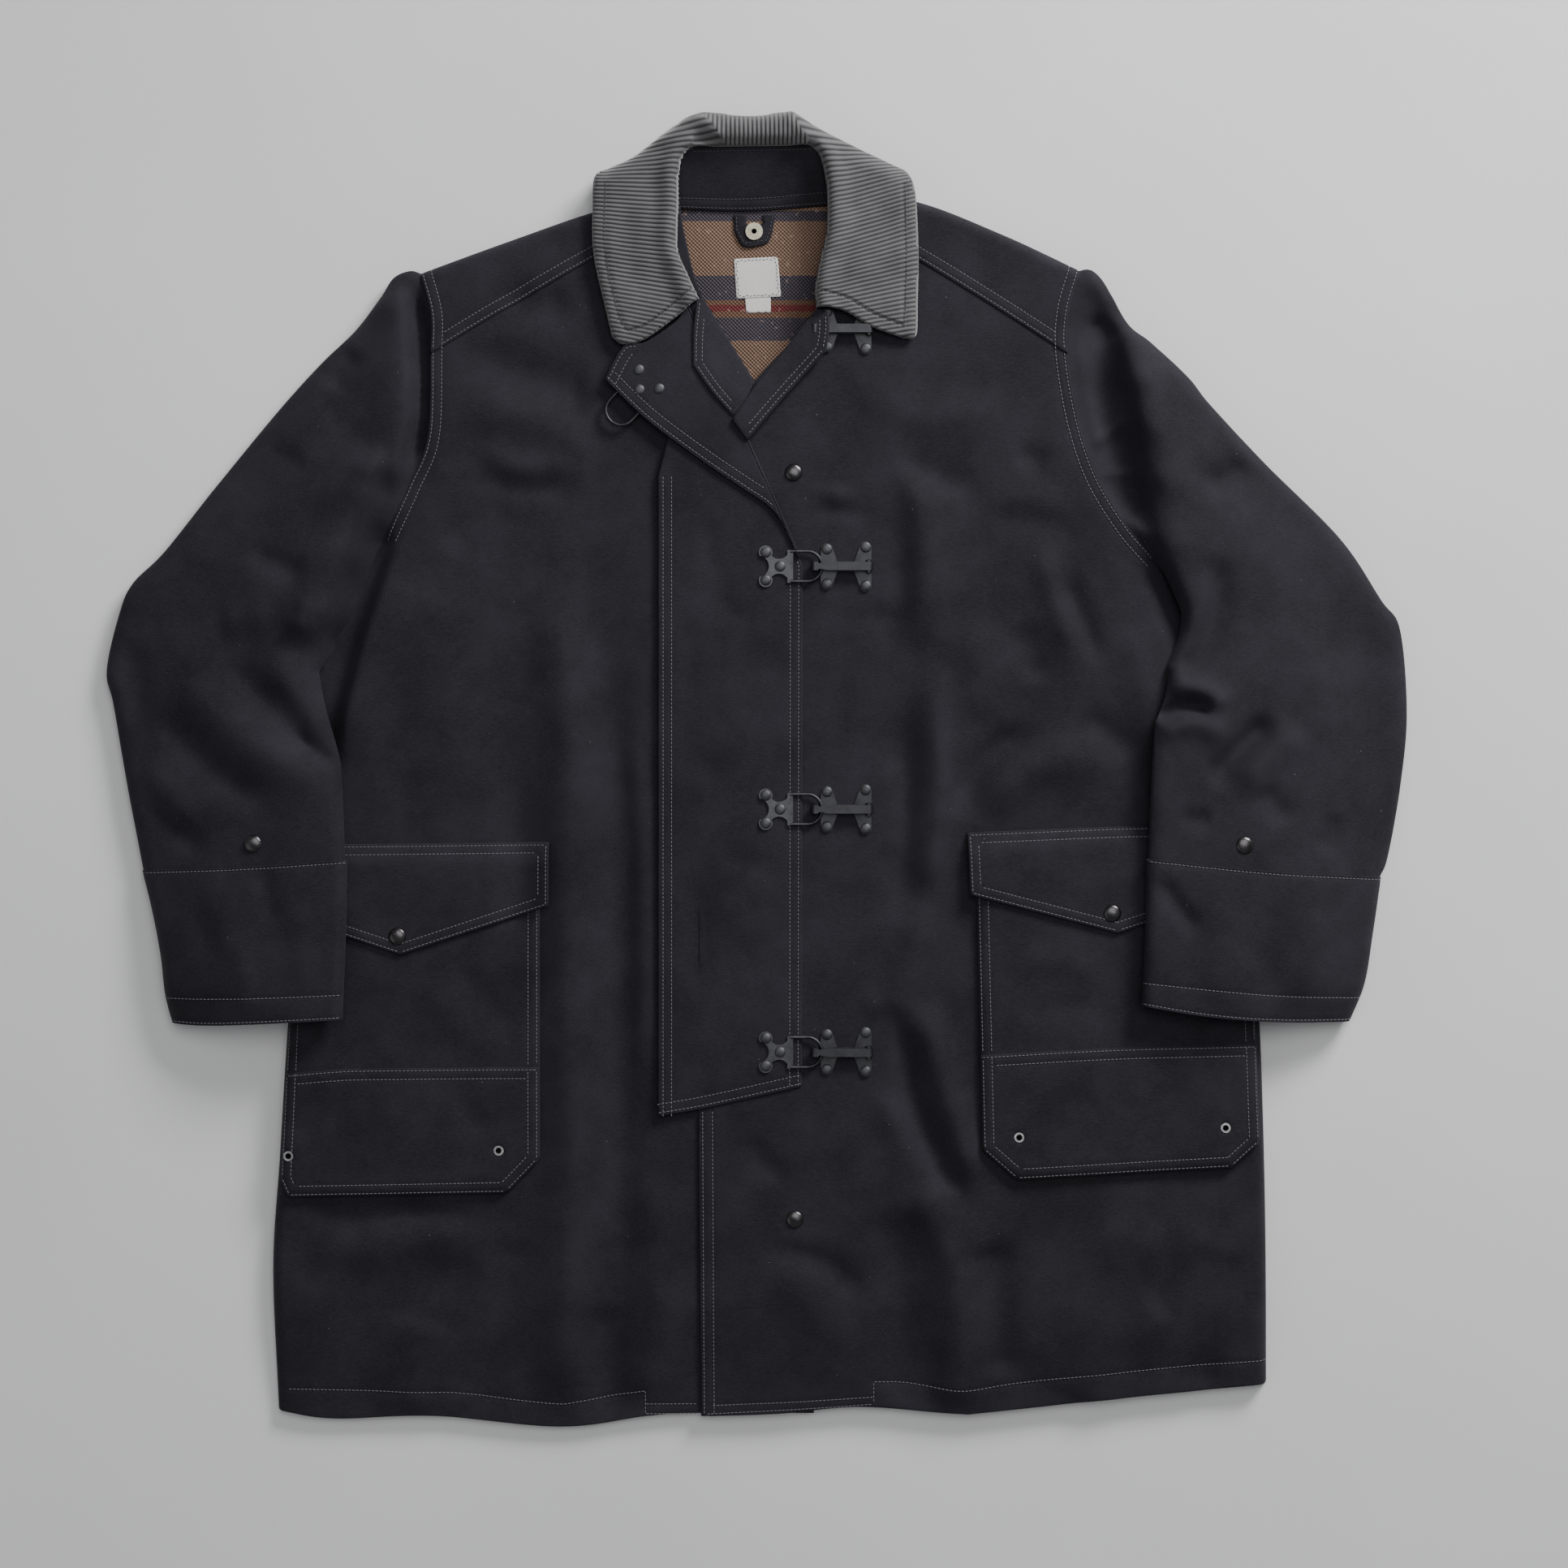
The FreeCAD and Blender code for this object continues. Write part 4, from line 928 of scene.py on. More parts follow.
def lining_for(side, outline, level):
    """Lining of one front, just under its canvas."""
    node = side + "_front_lining"
    below = top_of(side + "_front_panel") - top_of(node)
    piece = cloth_sheet(
        node + "_cloth", shrunk(outline, LINING_INSET), lambda x, y: level(x, y) - below, BLANKET,
        thickness=LINING - 0.2, drop=1.0, grid=6.0,
    )
    stands_for(piece, node, slot="blanket_lining")
    declare_cut(piece, shrunk(outline, LINING_INSET))


HEM_ROWS_RIGHT = [
    joined(curve((-345, -456), (-239, -458), (-212, -460), (-152, -466.5), (-129, -465), (-82, -457))),
    straight((-82, -457), (-82, -474)),
    straight((-82, -467), (-43, -467)),
    straight((-82, -474.2), (-43, -474)),
]
HEM_ROWS_LEFT = [
    curve((86, -450.3), (112, -451.5), (154, -455.7), (196, -450.5), (276, -442), (374, -434)),
    straight((86, -451), (86, -466)),
    curve((-33, -467.7), (30, -465), (85, -461.5)),
    curve((-37, -474), (30, -470.5), (85, -466.8)),
]


def right_front_piece():
    """The right front, whose edge lies under the left one."""
    rows = twin(RIGHT_ARMHOLE, 1) + HEM_ROWS_RIGHT
    piece = cloth_sheet(
        "right_front", RIGHT_BODY, right_front, DUCK, rows=rows, seam=0.0,
        drop=lambda x, y: np.where(distance(x, y, RIGHT_SIDE) < 6, 0.9, 1.3),
    )
    stands_for(piece, "right_front_panel")
    sewing = stitches("right_front_stitches", rows, right_front)
    declare_cut(piece, RIGHT_BODY)
    lining_for("right", RIGHT_BODY, right_front)


def left_front_piece():
    """The left front, with the sewn lower part of its free edge."""
    free_row = straight((-38.6, -474), (-39.8, -250))
    rows = twin(LEFT_ARMHOLE, -1) + [free_row, offset(free_row, -7.2)] + HEM_ROWS_LEFT
    piece = cloth_sheet(
        "left_front", LEFT_BODY, left_front, DUCK, rows=rows, seam=0.0,
        drop=lambda x, y: np.where(distance(x, y, LEFT_FREE_EDGE) < 6, 2.5, 1.3), roll=1.3,
    )
    stands_for(piece, "left_front_panel")
    sewing = stitches("left_front_stitches", rows, left_front)
    declare_cut(piece, LEFT_BODY)
    lining_for("left", LEFT_BODY, left_front)


def shrunk(outline, inset):
    """The outline moved inwards, with the points that would cross dropped."""
    closed = np.concatenate([outline, outline[:1]])
    for side in (inset, -inset):
        loop = offset(closed, side)[:-1]
        keep = inside(loop[:, 0], loop[:, 1], outline)
        loop = loop[keep]
        if len(loop) > 0.5 * len(outline):
            keep = distance(loop[:, 0], loop[:, 1], outline, closed=True) > inset * 0.97
            return loop[keep][::2]
    raise ValueError("the outline is too thin to shrink")


def yoke(side, front, outline, seam, armhole, armhole_side):
    """A shoulder yoke, lapped over its front."""

    def top(x, y):
        return front(x, y) + CLOTH

    rows = [row[distance(row[:, 0], row[:, 1], armhole) > EDGE_ROW + TWIN_GAP] for row in twin(seam)]
    rows += twin(armhole[armhole[:, 1] > 305], armhole_side)
    piece = cloth_sheet(side + "_yoke", outline, top, DUCK, rows=rows, roll=1.2, drop=CLOTH, seam=0.25)
    stands_for(piece, side + "_shoulder_yoke")
    sewing = stitches(side + "_yoke_stitches", rows, top)
    declare_cut(piece, outline)


def yokes():
    """The right and left yokes."""
    seam = curve((-240, 305), (-180, 341), (-118, 376), (-90, 388), (-70, 397))
    armhole_part = RIGHT_ARMHOLE[: len(RIGHT_ARMHOLE) // 3 + 1]
    outline = joined(RIGHT_SHOULDER, armhole_part, seam, straight((-70, 397), (-58, 425)))
    yoke("right", right_front, outline, seam, RIGHT_ARMHOLE, 1)
    seam = curve((76, 394), (95, 386), (118, 374), (175, 339), (228, 305))
    armhole_part = LEFT_ARMHOLE[: len(LEFT_ARMHOLE) // 3]
    outline = joined(straight((58, 425), (76, 394)), seam, armhole_part[::-1], LEFT_SHOULDER[::-1])
    yoke("left", left_front, outline, seam, LEFT_ARMHOLE, -1)


# ------------------------------------------------------------------ storm flap and its turned-out corner

FOLD_FOOT = np.array([31.0, 155.0])
FOLD_HEAD = np.array([-52.0, 341.0])
FOLD_LINE = straight(FOLD_FOOT, FOLD_HEAD)
FLAP_SEAM = straight((-72, 215), (-72, -254))
FLAP_BOTTOM = curve((-72, -254), (-35, -247.5), (32.5, -232.5))
FLAP_FREE = straight((32.5, -232.5), (33, 150), (31, 155))
CORNER_LOWER = curve((31, 155), (24, 172), (10, 192), (-10, 206), (-41, 227), (-81, 257), (-111, 286))
CORNER_UPPER = curve((-111, 286), (-97, 310), (-81, 313), (-58, 329), (-52, 341))
FOLD_STEPS = 5

FLAP_FOLDS = [
    ridge([(-40, 190), (-34, 165), (-36, 140)], -1.6, 8),
    ridge([(-56, 120), (-50, 90), (-52, 40)], -1.4, 9),
    ridge([(-30, 132), (-16, 116), (2, 112)], -1.4, 8),
    ridge([(-56, 20), (-30, -2), (-6, -10)], -1.6, 12),
    ridge([(-20, 80), (5, 74), (28, 78)], -1.2, 12),
    ridge([(-58, -60), (-45, -110), (-48, -170)], -1.6, 11),
    ridge([(-28, -58), (0, -70), (24, -64)], -1.2, 10),
    ridge([(-30, -120), (-10, -150), (-16, -190)], -1.4, 14),
]


def storm_flap_top(x, y):
    """The flap only sinks from its CAD level, so that its turned corner stays clear above it."""
    sunk = fold_height(x, y, FLAP_FOLDS) + 0.3 * unevenness(x, y, 30, 12) - 0.3
    return STORM_TOP + np.minimum(sunk, 0.0) * calm(x, y)


def corner_top(x, y):
    """The turned corner, flat beside the foot of the fold and slightly uneven above it."""
    return np.full(len(x), CORNER_TOP) + 0.25 * (1 + unevenness(x, y, 35, 4)) * smooth((y - 200) / 40)


def flap_layer(outline, top, rows, fall):
    """Middle surface of one layer of the flap: its points, triangles and the points on the fold."""
    verts, tris, _ = plan_mesh(outline, GRID, beside_rows(rows))
    x, y = verts[:, 0], verts[:, 1]
    edge = distance(x, y, outline, closed=True)
    fold_side = smooth((distance(x, y, FOLD_LINE) - edge - 0.2) / 1.0)
    z = top(x, y) - CLOTH / 2 - fall * (1 - rolled(edge, 1.0)) * fold_side
    z -= sewn_in(x, y, rows, 0.3) * smooth(edge)
    rim = [int(np.hypot(x - qx, y - qy).argmin()) for qx, qy in FOLD_LINE]
    return np.column_stack([x, y, z]), tris, rim


def fold_rows(low, high):
    """Rows of points around the fold, between its lower and its upper rim."""
    along = (FOLD_HEAD - FOLD_FOOT) / np.hypot(*(FOLD_HEAD - FOLD_FOOT))
    outward = np.array([along[1], -along[0]])
    radius = (high[:, 2] - low[:, 2]) / 2
    spread = np.minimum(1.0, np.hypot(*(low[:, :2] - FOLD_FOOT).T) / 12)
    rows = []
    for angle in math.pi * np.arange(1, FOLD_STEPS) / FOLD_STEPS:
        place = low[:, :2] + outward * (radius * math.sin(angle) * spread)[:, None]
        rows.append(np.column_stack([place, (high[:, 2] + low[:, 2]) / 2 - radius * math.cos(angle)]))
    return rows


def storm_flap():
    """One piece of cloth: the sewn flap, the roll of its fold, and the corner lying back on it."""
    lower_outline = joined(
        straight((-52, 341), (-58, 329), (-60, 262), (-72, 215)), FLAP_SEAM, FLAP_BOTTOM, FLAP_FREE, FOLD_LINE
    )
    upper_outline = joined(CORNER_UPPER, FOLD_LINE[::-1], CORNER_LOWER)
    lower_rows = [offset(FLAP_SEAM, inset) for inset in (3.3, 9.5)]
    lower_rows += [offset(edge, inset) for edge in (FLAP_FREE, FLAP_BOTTOM) for inset in (2.2, 8.4)]
    corner_edges = (CORNER_LOWER, CORNER_UPPER[: len(CORNER_UPPER) // 3 + 4])
    upper_rows = [offset(edge, -inset) for edge in corner_edges for inset in (2.2, 8.4)]
    upper_rows = [row[inside(row[:, 0], row[:, 1], upper_outline)] for row in upper_rows]
    upper_rows = [row[distance(row[:, 0], row[:, 1], FOLD_LINE) > 2.0] for row in upper_rows]

    lower, lower_tris, lower_rim = flap_layer(lower_outline, storm_flap_top, lower_rows, 0.9)
    upper, upper_tris, upper_rim = flap_layer(upper_outline, corner_top, upper_rows, 0.25)
    around = fold_rows(lower[lower_rim], upper[upper_rim])
    count = len(FOLD_LINE)
    first = len(lower) + len(upper)
    ladder = [lower_rim]
    ladder += [range(first + k * count, first + (k + 1) * count) for k in range(len(around))]
    ladder.append([len(lower) + n for n in upper_rim])
    faces = [tuple(tri) for tri in lower_tris]
    faces += [tuple(len(lower) + tri) for tri in upper_tris[:, ::-1]]
    for near, far in zip(ladder, ladder[1:]):
        faces += [(near[k], near[k + 1], far[k + 1], far[k]) for k in range(count - 1)]
    flap = new_object("storm_flap_cloth", np.concatenate([lower, upper, *around]), faces, DUCK, body=None)
    thicken(flap, CLOTH, 0)
    stands_for(flap, "storm_flap", "storm_flap_corner")
    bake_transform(flap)
    sewing = stitches("storm_flap_stitches", lower_rows, storm_flap_top)
    turned = stitches("storm_corner_stitches", upper_rows, corner_top, body="throat_corner")
    cut_area(lower_outline) + cut_area(upper_outline)


# ------------------------------------------------------------------ throat facings


def facings():
    """The two ends of the neck facing, turned out like small lapels."""
    right_v = curve((-39.3, 346), (-20, 315), (-1.5, 284.7))
    right_outer = [curve((-1.5, 284.7), (-8, 270), (-17, 257.7)), curve((-17, 257.7), (-33, 276), (-47, 296)),
                   curve((-47, 296), (-46.5, 320), (-44, 344))]
    right_level = surface_through([
        (-39.3, 346, 19.6), (-20, 315, 17.0), (-1.5, 284.7, 18.6), (-17, 257.7, 22.4), (-47, 296, 22.9),
        (-44, 344, 22.8), (-34, 296, 22.6), (-22, 276, 22.1), (-26, 306, 18.9), (-10, 272, 21.4),
        (-45, 320, 22.9),
    ])
    left_v = curve((44, 338), (20, 308), (-1, 281.7), (-18.3, 256))
    left_outer = [curve((-18.3, 256), (-7, 240.3)), curve((-7, 240.3), (20, 272), (50.7, 305.7)),
                  curve((50.7, 305.7), (53, 320), (53, 334.5))]
    left_level = surface_through([
        (44, 338, 21.4), (20, 308, 18.8), (-1, 281.7, 21.2), (-18.3, 256, 24.4), (-7, 240.3, 23.4),
        (20, 272, 22.4), (50.7, 305.7, 25.0), (53, 334.5, 25.2), (34, 306, 22.4), (2, 262, 22.8),
    ])
    right_outline = joined(right_v, *right_outer, straight((-44, 344), (-39.3, 346)))
    left_outline = joined(left_v, *left_outer, straight((53, 334.5), (44, 338)))
    for side, outline, sewn, level in (
        ("right", right_outline, right_outer[1:], right_level),
        ("left", left_outline, left_outer[1:], left_level),
    ):
        rows = []
        for run in sewn:
            for inset in (2.6, 7.0):
                row = offset(run, inset)
                if not inside(row[5:6, 0], row[5:6, 1], outline)[0]:
                    row = offset(run, -inset)
                rows.append(kept_inside(row, outline, inset * 0.9))
        piece = cloth_sheet(
            side + "_facing", outline, level, DUCK, thickness=1.1, rows=rows, drop=1.3, roll=1.1, grid=3.0,
            seam=0.3, depth=0.35,
        )
        stands_for(piece, side + "_throat_facing")
        sewing = stitches(side + "_facing_stitches", rows, lambda x, y, f=level: f(x, y) + 0.1)
        declare_cut(piece, outline)


# ------------------------------------------------------------------ collar, stand and neck trims

COLLAR_INNER_RIGHT = curve(
    (-42, 345), (-50, 362), (-57.6, 382), (-56.8, 414), (-56.8, 435), (-53.6, 449), (-47, 455.5)
)
STAND_TOP = straight((-47, 455.5), (39.6, 456.5))
COLLAR_INNER_LEFT = curve(
    (39.6, 456.5), (46, 449), (50.9, 427), (50.9, 395), (46, 372), (42.8, 354), (43.5, 338.4)
)
COLLAR_LEFT_END = curve((43.5, 338.4), (63, 336), (84, 324), (107, 316))
COLLAR_LEFT_OUTER = curve((107, 316), (116.7, 318), (118, 344), (118.5, 382), (116, 424), (109, 442))
COLLAR_BACK = curve((109, 442), (96, 447.5), (52, 468.5), (27, 484))
COLLAR_TOP_EDGE = curve((27, 484), (23, 484.5), (-4, 481), (-32, 483.5))
COLLAR_BACK_RIGHT = curve((-32, 483.5), (-42, 483.3), (-62.7, 472.5), (-90, 452), (-111, 442.5))
COLLAR_RIGHT_OUTER = curve(
    (-111, 442.5), (-119, 434), (-120.3, 413), (-119.7, 378), (-111, 338), (-106, 317)
)
COLLAR_RIGHT_END = curve((-106, 317), (-98, 311.5), (-82, 315), (-59, 331.5), (-42, 345))

COLLAR = joined(
    COLLAR_INNER_RIGHT, STAND_TOP, COLLAR_INNER_LEFT, COLLAR_LEFT_END, COLLAR_LEFT_OUTER, COLLAR_BACK,
    COLLAR_TOP_EDGE, COLLAR_BACK_RIGHT, COLLAR_RIGHT_OUTER, COLLAR_RIGHT_END,
)
COLLAR_HEMS = [
    curve((-111, 430), (-110.5, 378), (-101, 334), (-95, 321.5)),
    curve((-95, 321.5), (-82, 325), (-62, 340), (-47, 352)),
    curve((108.5, 428), (109.5, 382), (109, 344), (108, 325)),
    curve((108, 325), (86, 333.5), (66, 345.5), (47, 350)),
]
COLLAR_FOLDS = [
    ridge([(-60, 405), (-52, 396), (-48, 390)], 1.8, 4),
    ridge([(-64, 392), (-54, 384), (-49, 378)], -2.0, 4),
    ridge([(-66, 372), (-56, 372), (-48, 366)], 1.8, 4),
    ridge([(-80, 420), (-76, 390), (-78, 350)], 1.6, 12),
    ridge([(-98, 425), (-95, 385), (-90, 345)], -1.2, 9),
    ridge([(72, 420), (70, 385), (76, 350)], 1.8, 13),
    ridge([(96, 425), (94, 385), (98, 345)], -1.2, 10),
    ridge([(-60, 480), (-37, 474), (-24, 458)], 4.0, 4, 7, ends=0.15),
    ridge([(-50, 462), (-34, 460), (-26, 456)], -2.5, 5),
    ridge([(20, 482), (32, 470), (42, 456)], 2.5, 6, ends=0.15),
]
COLLAR_LEVEL = 24.2  # of the wings, over the throat clasp
COLLAR_CREST = top_of("collar")
COLLAR_BACK_LEVEL = 4.5  # of its outer edge behind the neck
COLLAR_THICKNESS = 3.0
NECK_WALL_INSET = 3.2

# How far the wales of a wing tilt: (y at the wing's middle, rise for each millimetre across).
WALE_TILT_RIGHT = [
    (300, -0.22), (390, -0.13), (427, -0.04), (443, 0.05), (459, 0.15), (475, 0.37), (495, 0.7)
]
WALE_TILT_LEFT = [
    (300, 0.14), (350, 0.22), (390, 0.32), (427, 0.28), (443, 0.18), (459, 0.02), (475, -0.32), (495, -0.9)
]
WING_MIDDLE = 85.0


def wale_line(x, y):
    """Position across the wales, in millimetres, and which part of the collar a point is in."""
    right = x < -23 - np.maximum(y - 457, 0) * 0.74
    left = x > 39.6 - np.maximum(y - 456.5, 0) * 0.57
    across = x.copy()
    for part, centre, tilts in ((right, -WING_MIDDLE, WALE_TILT_RIGHT), (left, WING_MIDDLE, WALE_TILT_LEFT)):
        ys, slopes = zip(*tilts)
        start = y.copy()
        for _ in range(12):
            start = 0.5 * start + 0.5 * (y - np.interp(start, ys, slopes) * (x - centre))
        across = np.where(part, start, across)
    return across, right, left


def wale_height(x, y):
    """Height of the pile across the wales, from 0 to 1."""
    across, _, _ = wale_line(x, y)
    return np.abs(np.sin(np.pi * across / CORD_PITCH)) ** 0.55


def neck_edge(x, y):
    """Distance from the collar's inner edges."""
    return np.minimum(distance(x, y, COLLAR_INNER_RIGHT), distance(x, y, COLLAR_INNER_LEFT))


def collar_roll(x, y):
    """The collar without its wales: flat wings, a roll around the neck and a slope at the back."""
    hump = np.exp(-(((neck_edge(x, y) - 6.5) / 7.5) ** 2))
    z = COLLAR_LEVEL + (COLLAR_CREST - COLLAR_LEVEL - 0.6) * hump
    back = smooth((y - 452) / 12)
    z = z * (1 - back) + back * (COLLAR_CREST - 0.4 - 6.5 * smooth((464 - y) / 10) * (np.abs(x) < 46))
    down = np.minimum.reduce([distance(x, y, r) for r in (COLLAR_BACK, COLLAR_TOP_EDGE, COLLAR_BACK_RIGHT)])
    z = COLLAR_BACK_LEVEL + (z - COLLAR_BACK_LEVEL) * rolled(down + 0.5, 15)
    side = np.minimum(distance(x, y, COLLAR_RIGHT_OUTER), distance(x, y, COLLAR_LEFT_OUTER))
    z -= 3.2 * (1 - rolled(side, 26)) * (1 - back)
    z -= 1.6 * (1 - rolled(distance(x, y, COLLAR_RIGHT_END), 14)) * (1 - back)
    return z + fold_height(x, y, COLLAR_FOLDS) + 0.35 * unevenness(x, y, 23, 8)


def wale_points():
    """Points in lines along the wales, eight lines to each wale."""
    lattice = []
    for middle, tilts, reach in (
        (-WING_MIDDLE, WALE_TILT_RIGHT, (-122, -22)), (WING_MIDDLE, WALE_TILT_LEFT, (22, 120))
    ):
        ys, slopes = zip(*tilts)
        xs = np.arange(*reach, OUTLINE_STEP)
        for start in np.arange(285, 520, CORD_PITCH / 8):
            lattice.append(np.stack([xs, start + np.interp(start, ys, slopes) * (xs - middle)], 1))
    lattice = np.concatenate(lattice)
    _, right, left = wale_line(lattice[:, 0], lattice[:, 1])
    lattice = lattice[np.where(lattice[:, 0] < 0, right, left)]
    xs, ys = np.arange(-48, 48, CORD_PITCH / 8), np.arange(455.5, 485, OUTLINE_STEP)
    behind = np.array([(x, y) for x in xs for y in ys])
    _, right, left = wale_line(behind[:, 0], behind[:, 1])
    return kept_inside(np.concatenate([lattice, behind[~right & ~left]]), COLLAR, 0.5)


def collar():
    """Corduroy collar: two wings and the roll behind the neck, with every wale in the mesh."""
    verts, tris = triangulated(resampled(COLLAR, 0.5), wale_points())
    x, y = verts[:, 0], verts[:, 1]
    edge = distance(x, y, COLLAR, closed=True)
    border = edge < 1e-4
    wale = wale_height(x, y)
    turned_in = 5.0 * (1 - rolled(neck_edge(x, y), 4.0))
    upper = collar_roll(x, y) + 1.0 * (wale - 0.72)
    upper -= sewn_in(x, y, COLLAR_HEMS, 1.5) + 1.7 * (1 - rolled(edge, 1.5)) + turned_in
    lower = np.maximum(np.minimum(collar_roll(x, y) - COLLAR_THICKNESS - turned_in, upper - 0.4), 0.6)
    lower = np.minimum(lower, upper - 0.05)
    piece = new_object("corduroy_collar", *closed_solid(x, y, upper, lower, tris, border), CORDUROY)
    # The wale heights also go to the corduroy material, which turns them into painted shade in the grooves.
    stored = piece.data.attributes.new("wale", "FLOAT", "POINT")
    stored.data.foreach_set("value", np.concatenate([wale, wale[~border]]).astype(np.float32))
    stands_for(piece, "collar", slot="corduroy")
    sewing = stitches(
        "collar_stitches", COLLAR_HEMS, lambda x, y: collar_roll(x, y) - 0.1, GREY_THREAD, lift=0.0,
    )
    declare_cut(piece, COLLAR, fullness=1.1)


def neck_wall():
    """The stand's outer side: it rises from the neck seam into the roll of the collar."""
    path = joined(COLLAR_INNER_RIGHT, STAND_TOP, COLLAR_INNER_LEFT)
    line = offset(path[np.hypot(*np.diff(path, axis=0, append=path[-1:] + 1.0).T) > 0.05], NECK_WALL_INSET)
    x, y = line[:, 0], line[:, 1]
    seam = np.where(x < 0, right_front(x, y), left_front(x, y)) - 1.0
    seam = np.where(y > 425, 1.2, seam)
    rise = collar_roll(x, y) - 3.6 - seam
    levels = 6
    points = np.concatenate([np.column_stack([x, y, seam + rise * k / levels]) for k in range(levels + 1)])
    count = len(line)
    faces = [(a, a + 1, a + 1 + count, a + count) for a in range(levels * count) if (a + 1) % count]
    wall = new_object("collar_stand_wall", points, faces, DUCK)
    skin = wall.modifiers.new("skin", "SOLIDIFY")
    skin.thickness = CLOTH * MM
    skin.offset = 0
    stands_for(wall, "collar_stand")


def resampled(outline, step):
    """The same closed outline with points at an even spacing."""
    closed = np.concatenate([outline, outline[:1]])
    along = np.concatenate([[0], np.cumsum(np.hypot(*np.diff(closed, axis=0).T))])
    at = np.linspace(0, along[-1], int(along[-1] / step), endpoint=False)
    return np.stack([np.interp(at, along, closed[:, 0]), np.interp(at, along, closed[:, 1])], 1)


def stand_level(x, y):
    """Inside of the collar stand, sloping up from the lining to the roll of the collar."""
    low, high = 5.0, top_of("collar_stand")
    t = np.clip((y - 411) / 46, -0.1, 1.05)
    return low + (high - low) * np.clip(t, 0, 1) ** 1.15 + 0.35 * unevenness(x, y, 26, 22)


def collar_stand():
    """Inside of the collar stand, in canvas."""
    outline = joined(
        curve((-60, 413), (-5, 411.9), (54, 416)), straight((54, 416), (53, 459)),
        straight((53, 459), (-59, 459)), straight((-59, 459), (-60, 413)),
    )
    rows = [
        curve((-58, 415), (-5, 413.9), (52, 418)),
        curve((-58, 421), (-5, 420.4), (52, 425)),
        curve((-47, 453), (-5, 453.6), (40, 454.4)),
    ]
    piece = cloth_sheet(
        "collar_stand_cloth", outline, stand_level, DUCK, rows=rows, drop=1.2, grid=3.0, seam=0.25
    )
    stands_for(piece, "collar_stand")
    sewing = stitches("collar_stand_stitches", rows, stand_level, GREY_THREAD)
    declare_cut(piece, outline)


def hanger_tab():
    """The hanging loop in the neck seam, which turns with its body."""

    def top(x, y):
        return np.full(len(x), top_of("hanger_tab"))

    strap = joined(
        straight((-17.4, 409.5), (-16.8, 398)), curve((-16.8, 398), (-14, 391), (-10.5, 386.2), (-5, 385)),
        curve((-5, 385), (2, 386.4), (8.2, 388.6), (11.4, 396)), straight((11.4, 396), (13.6, 409.5)),
        straight((13.6, 409.5), (4.2, 409.5), (4.6, 402.6), (-7.6, 402.6), (-7.6, 409.5), (-17.4, 409.5)),
    )
    rows = [
        straight((-15.2, 408), (-14.9, 398.5), (-9.6, 388.4)),
        straight((-9.6, 388.4), (6.8, 390.4), (9.4, 396.5), (11.4, 408)),
    ]
    tab = cloth_sheet(
        "hanger_tab_cloth", strap, top, DUCK, rows=rows, drop=1.0, grid=2.2, seam=0.0, depth=0.25,
        body="hanger",
    )
    stands_for(tab, "hanger_tab")
    sewing = stitches("hanger_tab_stitches", rows, top, GREY_THREAD, body="hanger", lift=0.0)
    declare_cut(tab, strap)


def neck_label():
    """The larger label, plain, with a zigzag row around its edge."""

    def top(x, y):
        return top_of("neck_label") + 0.25 + 0.3 * unevenness(x, y, 14, 40)

    outline = joined(straight((-17.2, 377), (-15.2, 347.4), (18, 349), (15.4, 378.8), (-17.2, 377)))
    label = cloth_sheet("neck_label_cloth", outline, top, LABEL, thickness=0.5, drop=0.6, roll=0.5, grid=1.8)
    stands_for(label, "neck_label", slot="label_cloth")
    border = shrunk(resampled(outline, 1.2), 1.8)
    border = np.concatenate([border, border[:1]])
    zigzag = offset(border, 0.45)
    zigzag[::2] = offset(border, -0.45)[::2]
    hem = stitches(
        "label_stitches", [zigzag], top, GREY_THREAD, thickness=0.26, lift=0.05
    )
    declare_cut(label, outline)


def size_tab():
    """The small tab under the label, plain."""

    def top(x, y):
        return top_of("neck_label") - 0.1 + 0.2 * unevenness(x, y, 14, 41)

    outline = joined(straight((-9, 349), (-8, 337), (10.4, 337.2), (10.2, 350), (-9, 349)))
    tab = cloth_sheet("size_tab_cloth", outline, top, LABEL, thickness=0.4, drop=0.5, roll=0.5, grid=1.8)
    stands_for(tab, "size_tab", slot="label_cloth")
    declare_cut(tab, outline)


# ------------------------------------------------------------------ sleeves and cuffs

RIGHT_OUTER = [(-248, 366), (-256, 367.5), (-268, 362), (-278, 346), (-296, 323), (-320, 300), (-352, 265),
               (-398, 209), (-436, 161), (-460, 137), (-470, 114), (-479, 73), (-474, 48), (-465, -5),
               (-452, -74)]
LEFT_OUTER = [(238, 368), (246, 368), (254, 361), (262, 348), (275, 326), (291, 314), (318, 289), (334, 269),
              (376, 224), (430, 170), (460, 125), (474, 103), (479, 41), (474, -13), (465, -64), (459, -79)]

# No fold of a sleeve comes closer to the floor than its two layers of cloth.
LOWEST_SLEEVE_TOP = 4.4
SLEEVE_FOLD_DEPTH = 1.35

